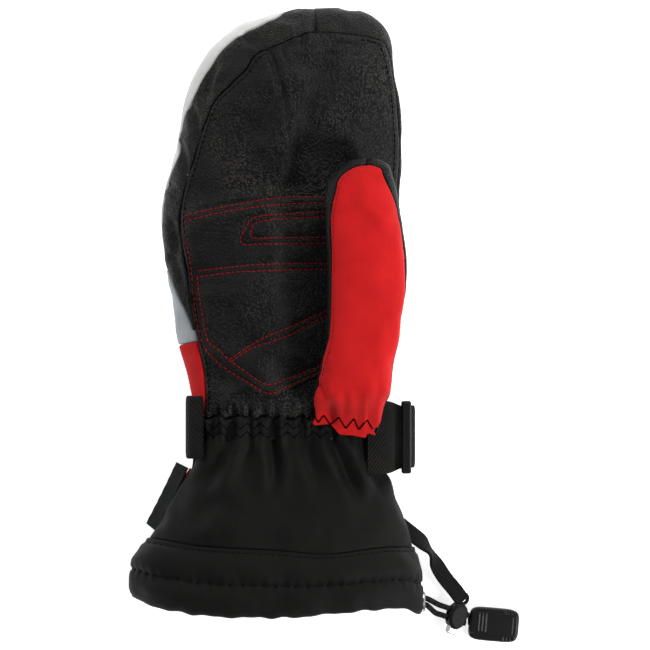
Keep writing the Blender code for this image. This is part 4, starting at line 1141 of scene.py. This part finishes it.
def make_thumb_palm(looks, field, d):
    """The leather panel, which runs up both edges to the red one."""
    low, edge = np.full_like(d, -0.5), np.full_like(d, -0.1)
    lead = THUMB.edge(d, -1, RIM_LEFT(d) - 0.1, low, 40)
    face = THUMB.face(d, (low, edge), False, 140)
    tail = THUMB.edge(d, 1, edge, RIM_RIGHT(d) - 0.2, 14)
    grid = resampled(np.concatenate([lead, face[:, 1:], tail[:, 1:]], 1), 60, EDGES)
    normal = facing(grid, -1)
    moved = rolled(sewn_on(grid + field.at(grid), 40.6, 1.4), normal, 0.7, tip=False)
    return sheet_mesh("thumb_leather", moved, normal, 1.0, looks["palm"],
                      stands_for=("thumb_palm_panel",), slot="leather_black")


def make_thumb(looks, field):
    d = depths(0.001, THUMB.last, 120, 1.2)
    made = [make_thumb_back(looks, field, d), make_thumb_palm(looks, field, d)]
    rows = np.concatenate([0.5 + 19.5 * np.linspace(0, 1, 10) ** 1.5, np.arange(25.0, 111.0, 5.0)])
    layers = (
        ("thumb_membrane_film", "thumb_membrane", (2.3, 2.6), "membrane", "membrane_white"),
        ("thumb_wadding", "thumb_insulation", (3.0, 4.9), "insulation", "insulation_grey"),
        ("thumb_fleece_lining", "thumb_lining", (5.4, 6.1), "lining", "lining_black"),
    )
    for name, node, insets, look, slot in layers:
        shell = sock_mesh(name, THUMB, rows, insets, looks[look], field, 48, tip=1.5,
                          stands_for=(node,), slot=slot)
        made.append(shell)
    return made


def bend_thumb(pieces):
    for piece in pieces:
        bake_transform(piece)


# ---- stitches ----
SLIT = 0.6
SLIT_DEPTH = 2.5


class Surface:
    """The finished outer surfaces, seen from above."""

    def __init__(self, pieces):
        points, faces = [], []
        for piece in pieces:
            start = len(points)
            points += [v.co.copy() for v in piece.data.vertices]
            faces += [[start + i for i in polygon.vertices] for polygon in piece.data.polygons]
        self.tree = BVHTree.FromPolygons(points, faces)

    def drop(self, x, y, from_below=False):
        """Point and normal straight under (or over) a plan point, bridging the slit of a seam."""
        found = self.hit(x, y, from_below)
        around = ((SLIT, 0), (-SLIT, 0), (0, SLIT), (0, -SLIT))
        beside = [self.hit(x + dx, y + dy, from_below) for dx, dy in around]
        beside = [other for other in beside if other]
        if not beside:
            return found
        sign = -1.0 if from_below else 1.0
        best = max(beside, key=lambda other: sign * other[0][2])
        if found is None or sign * (best[0][2] - found[0][2]) > SLIT_DEPTH:
            return np.array((x, y, best[0][2])), best[1]
        return found

    def hit(self, x, y, from_below):
        """What a straight line through a plan point meets first, in millimetres."""
        start = Vector((x * MM, y * MM, -0.05 if from_below else 0.2))
        hit, normal, _, _ = self.tree.ray_cast(start, Vector((0, 0, 1 if from_below else -1)))
        if hit is None:
            return None
        if (normal.z > 0) == from_below:
            normal = -normal
        return np.array(hit) / MM, np.array(normal)


def along_path(path, step):
    """Evenly spaced points along a path."""
    path = np.asarray(path, float)
    length = lengths(path)
    count = max(2, int(length[-1] / step) + 1)
    at = np.linspace(0, length[-1], count)
    return np.stack([np.interp(at, length, path[:, k]) for k in range(path.shape[1])], -1)


# Along a stitch: the place, the share of its lift and the share of its radius.
STITCH_RINGS = ((0.0, -0.35, 0.55), (0.12, 0.35, 0.9), (0.5, 1.0, 1.0), (0.88, 0.35, 0.9),
                (1.0, -0.35, 0.55))


def stitch_shape(a, b, up, radius, lift):
    """One stitch: a short thread that rises out of the fabric, lies along it and dips back."""
    side = unit(np.cross(unit(b - a), up))
    sides = 6
    rings = []
    for share, height, size in STITCH_RINGS:
        centre = a + (b - a) * share + up * lift * height
        for k in range(sides):
            turn = 2 * math.pi * k / sides
            rings.append(centre + (side * math.cos(turn) + up * 0.8 * math.sin(turn)) * radius * size)
    last = (len(STITCH_RINGS) - 1) * sides
    faces = [list(f) for f in grid_faces(len(STITCH_RINGS), sides, 0, True)]
    faces += [list(range(sides)), [last + k for k in range(sides)][::-1]]
    return rings, faces


class Stitching:
    """Many stitches gathered into one piece."""

    def __init__(self, name, look, surface, slot):
        self.name, self.look, self.surface, self.slot = name, look, surface, slot
        self.points, self.faces = [], []

    def row(self, path, pitch, length, radius, lift, from_below=False):
        spots = along_path(path, pitch)
        for a, b in zip(spots, spots[1:]):
            middle, half = (a + b) / 2, unit(b - a) * length / 2
            self.stitch(middle - half, middle + half, radius, lift, from_below)

    def stitch(self, a, b, radius, lift, from_below=False):
        first = self.surface.drop(a[0], a[1], from_below)
        last = self.surface.drop(b[0], b[1], from_below)
        if first is None or last is None or np.linalg.norm(first[0] - last[0]) > 9.0:
            return
        rings, faces = stitch_shape(first[0], last[0], unit(first[1] + last[1]), radius, lift)
        start = len(self.points)
        self.points += rings
        self.faces += [[start + int(i) for i in face] for face in faces]

    def make(self, body=None):
        return mesh_object(self.name, self.points, self.faces, self.look, body=body, slot=self.slot)


# Stitched lines on the heel of the palm, in plan.
HEEL_TOP_EDGE = plan((-49.9, 52.5), (-36, 56.2), (-22, 58.3), (-8, 60.0), (8, 60.6), (26, 60.6), (44, 59.0))
HEEL_LINES = (
    plan((-49.4, 49.9), (-36, 53.2), (-22, 55.7), (-0.5, 59.3), (23, 59.9), (40, 58.6)),
    plan((-49.4, 46.7), (-36, 50.4), (-22, 53.0), (-0.5, 55.7), (23, 56.7), (40, 55.4)),
    plan((36, 51.4), (23, 52.0), (-4.2, 50.4), (-13.1, 48.8), (-16.3, 44.1), (-19.4, 35.7), (-6, 35.4),
         (23, 35.7), (36, 36.4)),
    plan((36, 48.8), (23, 49.4), (-4.2, 47.8), (-12.1, 45.7), (-13.6, 42.0), (-13.4, 38.6), (0, 38.6),
         (23, 38.9), (36, 39.4)),
    plan((-42.0, 21.5), (-31, 22.6), (-8.4, 24.7), (23, 25.2), (38, 24.8)),
    plan((-41.0, 18.4), (-23.6, 20.5), (0, 21.6), (23, 22.1), (38, 21.8)),
    plan((-49.3, 45.7), (-48.8, 40.4), (-45.7, 25.7), (-44.1, 10.5), (-42.5, -3.2), (-39.9, -14.7),
         (-35.7, -22.1), (-27.3, -29.4), (-16.8, -35.7), (-4.7, -42.5), (5.3, -38.9), (17.9, -33.1),
         (30, -28.0)),
    plan((-42.0, 18.9), (-40.9, 7.9), (-38.9, -3.2), (-37.8, -10.0), (-36.2, -15.8), (-31, -19.4),
         (-25.7, -24.7), (-18.4, -29.9), (-5.8, -37.8), (5.3, -34.7), (17.9, -29.9), (30, -24.5)),
    plan((-25.7, -25.2), (-9.5, -14.7), (5.3, -8.4), (23, -0.5), (34, 4.0)),
    plan((-24.7, -26.3), (-13.1, -18.9), (5.3, -12.6), (19, -5.3), (32, 0.0)),
)
# The patch's left edge and its lower edge, which meet at the point with this number.
HEEL_OUTLINE = plan((-50.6, 46.0), (-50.3, 40.0), (-47.3, 25.0), (-45.8, 10.0), (-44.2, -3.6),
                    (-41.4, -15.4), (-36.9, -23.4), (-28.2, -31.0), (-17.6, -37.4), (-4.6, -44.6),
                    (6.0, -40.8), (18.8, -34.9), (34, -29.5), (46, -26.0))
HEEL_CORNER = 8
HEEL_ROWS, HEEL_COLUMNS = 120, 110


def spread(path, count):
    """A path read again at another number of points."""
    at, known = np.linspace(0, 1, count), np.linspace(0, 1, len(path))
    return np.stack([np.interp(at, known, path[:, k]) for k in (0, 1)], -1)


def between_corners(a, b, c, d, u, v):
    """Points between four corners: u goes from a to b and from c to d, v from those to these."""
    return (a * (1 - u) + b * u) * (1 - v) + (c * (1 - u) + d * u) * v


def heel_plan():
    """A grid in plan that fills the patch's outline, from its top edge to its lower one."""
    lower = along_path(smooth_path(HEEL_OUTLINE[HEEL_CORNER:]), 1.2)
    top = spread(along_path(smooth_path(HEEL_TOP_EDGE), 1.2), HEEL_COLUMNS)
    bottom = spread(lower, HEEL_COLUMNS)
    left = along_path(smooth_path(HEEL_OUTLINE[:HEEL_CORNER + 1]), 1.0)
    left = spread(np.concatenate([[top[0]], left]), HEEL_ROWS)
    left[-1] = bottom[0]
    right = spread(np.array([top[-1], bottom[-1]]), HEEL_ROWS)
    u = np.linspace(0, 1, HEEL_COLUMNS)[None, :, None]
    v = np.linspace(0, 1, HEEL_ROWS)[:, None, None]
    sides = left[:, None] * (1 - u) + right[:, None] * u + top[None] * (1 - v) + bottom[None] * v
    return sides - between_corners(top[0], top[-1], bottom[0], bottom[-1], u, v)


def make_heel(looks, palm_surface):
    """The second layer of leather over the heel of the palm, quilted down by its stitching."""
    flat = heel_plan()
    points = np.zeros((HEEL_ROWS, HEEL_COLUMNS, 3))
    normals = np.zeros_like(points)
    height = 30.0
    for r in range(HEEL_ROWS):
        for c in range(HEEL_COLUMNS):
            found = palm_surface.drop(*flat[r, c])
            points[r, c], normals[r, c] = found or ((*flat[r, c], height), (0, 0, 1))
            height = points[r, c, 2]
    gap = np.full(points.shape[:2], 1e9)
    for line in HEEL_LINES:
        gap = np.minimum(gap, nearest_on(points, smooth_path(line))[0])
    quilt = 0.55 * (1 - np.exp(-(gap / 2.4) ** 2)) - 0.25 * np.exp(-(gap / 0.8) ** 2)
    edge = edge_distance(points)
    lift = 1.0 * np.sqrt(np.clip(edge / 0.9, 0, 1)) + quilt
    raised = points + normals * lift[..., None]
    return sheet_mesh("heel_leather", raised, normals, 0.9, looks["heel"], body="mitten",
                      stands_for=("palm_heel_patch",), slot="leather_black")


def stitch_palm(looks, surface):
    """The heel's red lines and the lines along the palm's seams."""
    red = Stitching("heel_red_stitching", looks["red_thread"], surface, "piping_red")
    for line in HEEL_LINES:
        red.row(smooth_path(line), 2.7, 1.9, 0.26, 0.24)
    red.make("mitten")
    seam = Stitching("palm_seam_stitching", looks["black_thread"], surface, "cord_black")
    d = np.linspace(8.0, 214.0, 300)
    for side, inset in ((-1, PALM_LEFT(d) + 2.2), (1, PALM_RIGHT(d) + 3.0)):
        seam.row(HAND.at_inset(d, side, inset)[:, :2], 3.0, 2.4, 0.24, 0.2)
    seam.make("mitten")


def stitch_cuff(looks, surface):
    """The hem's two lines, over and under, and the wrist's two zigzags."""
    hem = Stitching("hem_stitching", looks["grey_thread"], surface, "cord_black")
    for depth in (HEM_SEAM + 2.6, HEM_SEAM + HEM_STITCH):
        ring = HAND.ring([depth], 400)[0]
        for below, points in ((False, ring[2:199]), (True, ring[202:399])):
            hem.row(sagged(points)[:, :2], 3.4, 1.9, 0.22, 0.15, below)
    hem.make("mitten")
    wrist = Stitching("wrist_zigzag", looks["black_thread"], surface, "cord_black")
    pitch = 3.5
    for y in (-59.5, -64.0):
        for k in range(24):
            x = -37 + pitch * k
            tilt = 1.6 if k % 2 else -1.6
            for share in (0.0, 1 / 3, 2 / 3):
                here = (x + pitch * share, y - tilt + 2 * tilt * share)
                wrist.stitch(here, (here[0] + pitch / 3, here[1] + 2 * tilt / 3), 0.26, 0.3)
    wrist.make("mitten")


THUMB_ZIGZAG = ((17.6, -57.5), (19.4, -54.0), (21.2, -57.6), (24.0, -53.7), (27.6, -58.8), (32.0, -54.6),
                (35.4, -60.6), (39.7, -55.4), (42.3, -61.3), (46.5, -56.0), (49.5, -61.0))


def stitch_thumb(looks, surface):
    """The zigzag over the thumb's gathered end and the line along its rim."""
    zigzag = Stitching("thumb_zigzag", looks["black_thread"], surface, "cord_black")
    for a, b in zip(THUMB_ZIGZAG, THUMB_ZIGZAG[1:]):
        spots = np.linspace(a, b, 5)
        for here, there in zip(spots, spots[1:]):
            zigzag.stitch(here, there, 0.42, 0.4)
    rim = Stitching("thumb_edge_stitching", looks["red_thread"], surface, "piping_red")
    d = np.linspace(3.0, 118.0, 160)
    rim.row(THUMB.at_inset(d, -1, RIM_LEFT(d) + 1.7)[:, :2], 2.8, 2.2, 0.22, 0.18)
    return [zigzag.make(), rim.make()]


# ---- straps ----
def ribbon_section(thickness):
    """Round a ribbon's section: how far across it each point is, from -1 to 1, and its level."""
    section = []
    for side in (1, -1):
        half = side * thickness / 2
        for v in np.linspace(-side, side, 13):
            section.append((v, half * (1.0 if abs(v) < 0.9 else 0.72)))
        section.append((side + half / 12, 0.0))
    return section


def ribbon(name, path, thickness, width, look, body, stands_for, slot, middle=None):
    """Webbing along a path in the XZ plane, its width along Y; width and middle may change along it."""
    path = along_path(smooth_path(path, 10), 0.8)
    wide = np.broadcast_to(width(np.linspace(0, 1, len(path))) if callable(width) else width, len(path))
    middle = np.broadcast_to(middle(path[:, 0]) if middle else STRAP_Y, len(path))
    along = unit(np.gradient(path, axis=0))
    across = np.stack([-along[:, 1], along[:, 0]], -1)
    section = ribbon_section(thickness)
    points, uvs = [], []
    length = lengths(path)
    for i, centre in enumerate(path):
        for v, level in section:
            offset = across[i] * level
            points.append((centre[0] + offset[0], middle[i] + v * wide[i] / 2, centre[1] + offset[1]))
            uvs.append((length[i] * MM, v * wide[i] / 2 * MM))
    columns = len(section)
    faces = [list(f) for f in grid_faces(len(path), columns, 0, True)]
    faces += [list(range(columns)), [len(points) - columns + k for k in range(columns)][::-1]]
    made = mesh_object(name, points, faces, look, body, stands_for, slot)
    write_uv(made, points, uvs)
    return made


def write_uv(item, points, uvs):
    """Lay the mesh out flat, in metres, so that a weave follows the webbing."""
    layer = item.data.uv_layers.new(name="flat")
    tree = point_tree([Vector(point) * MM for point in points])
    lookup = [tree.find(v.co)[1] for v in item.data.vertices]
    for loop in item.data.loops:
        layer.data[loop.index].uv = uvs[lookup[loop.vertex_index]]


def arc(centre, radius, start, stop, count):
    return [(centre[0] + radius * math.cos(math.radians(a)), centre[1] + radius * math.sin(math.radians(a)))
            for a in np.linspace(start, stop, count)]


def make_straps(looks):
    bar = (RING_X, 9.2)
    run = [(-39.0, 34.6), (-42.0, 33.4), (-45.4, 31.5), (-47.3, 28.0), (-47.6, 22.0), (-46.6, 15.5),
           (-43.0, 10.5), (-36.0, 7.9), (-20.0, 7.4), (10.0, 7.4), (36.0, 7.4), (48.0, 8.3), (56.0, 10.6),
           (62.0, 12.9)]
    ribbon("wrist_webbing", run + arc(bar, 4.3, 90, -85, 9), 1.4, 31.0, looks["webbing"], "mitten",
           ("wrist_strap",), "webbing_black", lambda x: STRAP_Y + 5.2 * smoothstep((10.0 - x) / 52.0))
    loop = [(47.0, 34.2), (51.5, 33.5), (55.5, 32.4), (59.0, 30.0), (62.0, 26.9), (64.6, 23.9)]
    loop += arc((RING_X, 21.0), 2.55, 80, -80, 7) + [(64.6, 18.4), (61.4, 20.4), (58.6, 24.0), (56.6, 27.5)]
    narrowing = Curve((0, 0.25, 0.5, 1.0), (39.0, 36.0, 31.0, 30.0))
    ribbon("anchor_webbing", loop, 1.1, narrowing, looks["webbing"], "mitten", ("strap_anchor_loop",),
           "webbing_black")
    flat = (
        ("loop_tape_pile", "loop_tape", (-20.0, 12.0, 45.0), 5.95, 0.9, 24.0, "hook", "mitten"),
        ("strap_tail_webbing", "strap_tail", (-8.0, 30.0, 66.6), 3.15, 1.3, 30.0, "webbing", "strap_tail"),
        ("hook_tape_face", "hook_tape", (-4.0, 14.0, 32.0), 4.6, 0.9, 24.0, "hook", "strap_tail"),
        ("strap_end_grip", "strap_end_tab", (-20.0, -14.0, -8.4), 3.2, 1.9, 30.0, "rubber", "strap_tail"),
    )
    slots = {"hook": "hook_tape_black", "webbing": "webbing_black", "rubber": "rubber_black"}
    for name, node, places, level, thickness, width, look, body in flat:
        path = [(x, level) for x in places]
        ribbon(name, path, thickness, width, looks[look], body, (node,), slots[look])


# ---- trim and the drawcord ----
def tube_curve(name, points, diameter, look, node):
    """A round cord or piping along a line of points, in the place of its CAD node."""
    data = bpy.data.curves.new(name, "CURVE")
    data.dimensions = "3D"
    data.bevel_depth = diameter / 2 * MM
    data.bevel_resolution = 4
    data.use_fill_caps = True
    spline = data.splines.new("POLY")
    spline.points.add(len(points) - 1)
    for target, point in zip(spline.points, points):
        target.co = (*(Vector(point) * MM), 1.0)
    data.materials.append(look)
    return placed(bpy.data.objects.new(name, data), "mitten", (node,))


def make_piping(looks):
    d = np.linspace(WRIST_SEAM + 27.0, HEM_SEAM - 1.0, 40)
    points = HAND.at_inset(d, -1, np.zeros_like(d))
    points += np.array([0.25, 0.0, -2.2])
    tube_curve("side_seam_piping", points, 2.0, looks["piping"], "pinky_seam_piping")


def make_label(looks):
    """A folded woven label in the side seam, with a plain face."""
    corners = np.array(((-47.2, -81.8, 21.0), (-63.4, -115.8, 15.5), (-53.2, -78.9, 16.5),
                        (-69.3, -111.2, 10.5)))
    u = np.linspace(0, 1, 40)[:, None, None]
    v = np.linspace(0, 1, 14)[None, :, None]
    normal = unit(np.cross(corners[1] - corners[0], corners[2] - corners[0]))
    bulge = 0.5 + 0.5 * np.sin(u * math.pi) + 0.15 * np.sin(u * 40) * v
    grid = between_corners(*corners, u, v) + normal * bulge
    normal = np.broadcast_to(normal, grid.shape)
    sheet_mesh("side_label", grid, normal, 1.0, looks["label"], body="mitten", stands_for=("woven_label",),
               slot="label_black")


def lock_frame():
    along = LOCK_DIRECTION
    length = Vector((-along.y, along.x, 0.0)).normalized()
    face = along.cross(length)
    return Matrix.Translation(LOCK_CENTRE) @ Matrix((along, length, face)).transposed().to_4x4()


def make_channel_cord(looks):
    """The hidden part of the drawcord, all the way round inside the hem, sagging with it."""
    ring = HAND.ring([TIP_Y - EYELET[1]], 300, 3.0)[0]
    first = int(np.argmin(np.linalg.norm(ring - np.array(EYELET), axis=1)))
    ring = np.roll(ring, -first, 0)[2:-2]
    tube_curve("hem_cord", sagged(ring), CORD_D, looks["cord"], "hem_drawcord")


def strand_points(node, side):
    """One end of the drawcord: out of the channel, through the eyelet and the lock, into the tab."""
    lock = lock_frame()
    y, z = EYELET[1] + side * 1.7, EYELET[2]
    low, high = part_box(node)
    x = (low.x / MM) + CORD_D / 2
    route = [(x, y, high.z / MM - CORD_D / 2), (x + 1.6, y, z + side * 2.4), (73.6, y, z + side * 0.6),
             (75.6, y, z), (78.0, y, z - 0.1)]
    route += [tuple(lock @ Vector((at, side * 2.3, 0.0))) for at in (-12.0, -8.0, -4.0, 0.0, 4.0, 6.2)]
    return along_path(smooth_path(route, 8), 1.4)


def make_drawcord(looks):
    strands = []
    ends = (("drawcord_a", "drawcord_strand_a", 1), ("drawcord_b", "drawcord_strand_b", -1))
    for name, node, side in ends:
        points = strand_points(node, side)
        made = tube_curve(name, points, CORD_D, looks["cord"], node)
        strands.append((made, points))
    return strands


def dress_cad(looks):
    """Nodes whose own shape is right keep it, with a better finish."""
    for name, look in (("cord_lock_spring", "spring"), ("wrist_elastic", "tape")):
        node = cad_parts[name]
        node.data.materials.clear()
        node.data.materials.append(looks[look])


def softened(name, node, look, width, body):
    """A hard fitting with its edges rounded, in the place of its CAD node."""
    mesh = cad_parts[node].data.copy()
    mesh.name = name
    mesh.materials.clear()
    mesh.materials.append(look)
    made = bpy.data.objects.new(name, mesh)
    edges = made.modifiers.new("softened", "BEVEL")
    edges.width = width * MM
    edges.segments = 3
    edges.limit_method = "ANGLE"
    edges.angle_limit = math.radians(30)
    return placed(made, body, (node,))


def make_fittings(looks):
    """The moulded and metal fittings; the lock's own parts are returned."""
    softened("ring_moulded", "strap_ring", looks["plastic"], 0.8, "ring")
    softened("eyelet_pressed", "cord_eyelet", looks["steel"], 0.15, "mitten")
    body = softened("lock_shell", "cord_lock_body", looks["lock"], 0.2, "cord_lock")
    button = softened("lock_button", "cord_lock_plunger", looks["clear"], 0.1, "lock_plunger")
    return [body, button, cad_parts["cord_lock_spring"]]


TETHER_ROUTE = ((64.0, -111.5, 15.8), (70.0, -116.4, 14.6), (75.5, -120.8, 12.6), (80.0, -126.0, 10.4),
                (83.2, -132.6, 8.4), (87.6, -139.8, 7.0), (93.0, -146.4, 7.0), (97.4, -152.4, 7.6))
TETHER_WIDTH = 8.0
TETHER_COLUMNS = 9


def tether_grid(route):
    """The tape's middle surface, which turns edge-on part of the way along."""
    along = unit(np.gradient(route, axis=0))
    rows = []
    for point, way, share in zip(route, along, np.linspace(0, 1, len(route))):
        edge_on = math.exp(-((share - 0.42) / 0.13) ** 2)
        twist = math.radians(14.0 + 62.0 * edge_on)
        side = unit(np.cross(way, (0, 0, 1)))
        wide = side * math.cos(twist) + np.cross(side, way) * math.sin(twist)
        rows.append([point + wide * v * TETHER_WIDTH / 2 for v in np.linspace(-1, 1, TETHER_COLUMNS)])
    return np.array(rows)


def make_tether(looks):
    """Doubled flat tape from the side seam to the lock, its two layers lying on each other."""
    step = 0.9
    grid = tether_grid(along_path(smooth_path(TETHER_ROUTE, 10), step))
    normal = grid_normals(grid)
    layers = [sheet_shape(grid + normal * level, normal, 0.72) for level in (0.8, -0.05)]
    points = np.concatenate([shape for shape, _ in layers])
    faces = np.concatenate([layers[0][1], layers[1][1] + len(layers[0][0])])
    made = mesh_object("tether_webbing", points, faces, looks["tape"],
                       stands_for=("tether_tape",), slot="webbing_black")
    flat = [(r * step * MM, c * MM) for r in range(len(grid)) for c in range(TETHER_COLUMNS)]
    write_uv(made, points, flat * 4)
    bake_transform(made)
    return made, grid[:, TETHER_COLUMNS // 2]


TAB_CENTRE = (113.7, -164.9)
TAB_TURN = math.radians(-5.0)


def tab_level(x, y, reach):
    """The tab's top: rounded off at its rim, with a lower facet, ribs, notches and a line."""
    edge = np.clip((1 - reach) / 0.16, 0, 1)
    level = 3.2 + 1.5 * np.sqrt(1 - (1 - edge) ** 2)
    level -= 0.9 * smoothstep((-4.6 - y) / 1.2)
    for rib in (-8.2, -6.4, -4.6):
        level += 0.5 * np.exp(-((x - rib) / 0.42) ** 2) * smoothstep((5.4 - np.abs(y - 1.0)) / 1.0)
    for notch in (6.2, 8.0, 9.8):
        level -= 0.8 * np.exp(-((x - notch) / 0.4) ** 2) * smoothstep((np.abs(y) - 5.8) / 0.8)
    return level - 0.3 * np.exp(-((x - 10.6) / 0.5) ** 2) * smoothstep((5.0 - np.abs(y)) / 1.0)


def make_pull_tab(looks):
    """The moulded pull: a slab with rounded corners, and a neck for the cords' ends."""
    u, v = np.meshgrid(np.linspace(-1, 1, 72), np.linspace(-1, 1, 52), indexing="ij")
    reach = np.maximum(np.abs(u), np.abs(v))
    angle = np.arctan2(v, u)
    rim = (np.abs(np.cos(angle)) ** 5 + np.abs(np.sin(angle)) ** 5) ** (-1 / 5)
    x, y = 13.2 * reach * rim * np.cos(angle), 8.9 * reach * rim * np.sin(angle)
    level = tab_level(x, y, reach)
    cos, sin = math.cos(TAB_TURN), math.sin(TAB_TURN)
    grid = np.stack([TAB_CENTRE[0] + x * cos - y * sin, TAB_CENTRE[1] + x * sin + y * cos, level + 0.6], -1)
    points, faces = sheet_shape(grid, np.stack([0 * x, 0 * x, level - 0.4], -1), 1.0)
    neck = [(sx, sy, sz) for sx in (100.0, 103.0) for sy in (-165.0, -159.6) for sz in (1.6, 4.3)]
    sides = np.array([(0, 1, 3, 2), (4, 6, 7, 5), (0, 4, 5, 1), (2, 3, 7, 6), (0, 2, 6, 4), (1, 5, 7, 3)])
    faces = np.concatenate([faces, sides + len(points)])
    return mesh_object("pull_tab_grip", np.concatenate([points, neck]), faces, looks["rubber"], "pull_tab",
                       ("pull_tab",), "rubber_black")


# ---- the picture ----
def area_light(name, place, size, power):
    """A white square or oblong light that looks at the mitten."""
    data = bpy.data.lights.new(name, "AREA")
    data.shape = "RECTANGLE"
    data.size, data.size_y = size
    data.energy = power
    made = bpy.data.objects.new(name, data)
    made.location = place
    made.rotation_euler = (Vector((0.0, 0.0, 0.02)) - Vector(place)).to_track_quat("-Z", "Y").to_euler()
    bpy.context.scene.collection.objects.link(made)


def make_floor():
    bpy.ops.mesh.primitive_plane_add(size=6.0, location=(0, 0, -0.0010))
    floor = bpy.context.object
    floor.name = "studio_floor"
    n = Nodes("studio_white", (0.93, 0.93, 0.93), 0.9)
    n.set("Emission Color", (1, 1, 1, 1))
    n.set("Emission Strength", 0.75)
    n.link(n.ramp(n.noise(3.0, 2.0), ((0.3, (0.92, 0.92, 0.92)), (0.7, (0.94, 0.94, 0.94)))), "Base Color")
    floor.data.materials.append(n.material)


def make_lights():
    world = bpy.data.worlds.new("studio")
    bpy.context.scene.world = world
    world.use_nodes = True
    background = world.node_tree.nodes["Background"]
    background.inputs[0].default_value = (1.0, 1.0, 1.0, 1.0)
    background.inputs[1].default_value = 0.16
    area_light("key", (1.0, -0.60, 0.95), (0.35, 0.35), 17.0)
    area_light("fill", (-1.0, 0.6, 1.0), (0.9, 0.9), 8.0)
    area_light("rim", (0.55, 1.1, 0.75), (0.6, 0.5), 9.0)


def make_camera():
    """Straight above, from far enough that the picture is nearly without perspective."""
    camera = bpy.data.cameras.new("camera")
    camera.lens = 300.0
    camera.sensor_width = 36.0
    camera.clip_end = 20.0
    made = bpy.data.objects.new("camera", camera)
    width = 0.34125
    middle_height = 0.018
    away = width * camera.lens / camera.sensor_width
    made.location = (0.024675, -0.006825, middle_height + away)
    bpy.context.scene.collection.objects.link(made)
    bpy.context.scene.camera = made
    bpy.context.scene.view_settings.view_transform = "Standard"
    bpy.context.scene.view_settings.look = "None"


def main():
    make_floor()
    make_lights()
    make_camera()
    looks = make_looks()
    hand_field = puffed("hand_skin", HAND, MOUTH, 96, 4.2, seam_points(), 2.4, 1.0, 4.0)
    thumb_field = puffed("thumb_skin", THUMB, 144.0, 48, 3.4, thumb_seam_points(), 1.6, 0.8, 4.0)
    palm = make_palm(looks, hand_field)
    gussets = make_gussets(looks, hand_field)
    back = make_back(looks, hand_field)
    gauntlet = make_gauntlet(looks, hand_field)
    hem = make_hem(looks, hand_field)
    make_hand_layers(looks, hand_field)
    make_cuff_lining(looks, hand_field)
    heel = make_heel(looks, Surface([palm, gussets[1]]))
    thumb = make_thumb(looks, thumb_field)
    stitch_palm(looks, Surface([palm, heel, *gussets]))
    stitch_cuff(looks, Surface([*gauntlet, hem]))
    thumb += stitch_thumb(looks, Surface([thumb[0]]))
    bend_thumb(thumb)
    make_straps(looks)
    make_piping(looks)
    make_label(looks)
    make_channel_cord(looks)
    strands = make_drawcord(looks)
    tether = make_tether(looks)
    dress_cad(looks)
    fittings = make_fittings(looks)
    tab = make_pull_tab(looks)


main()
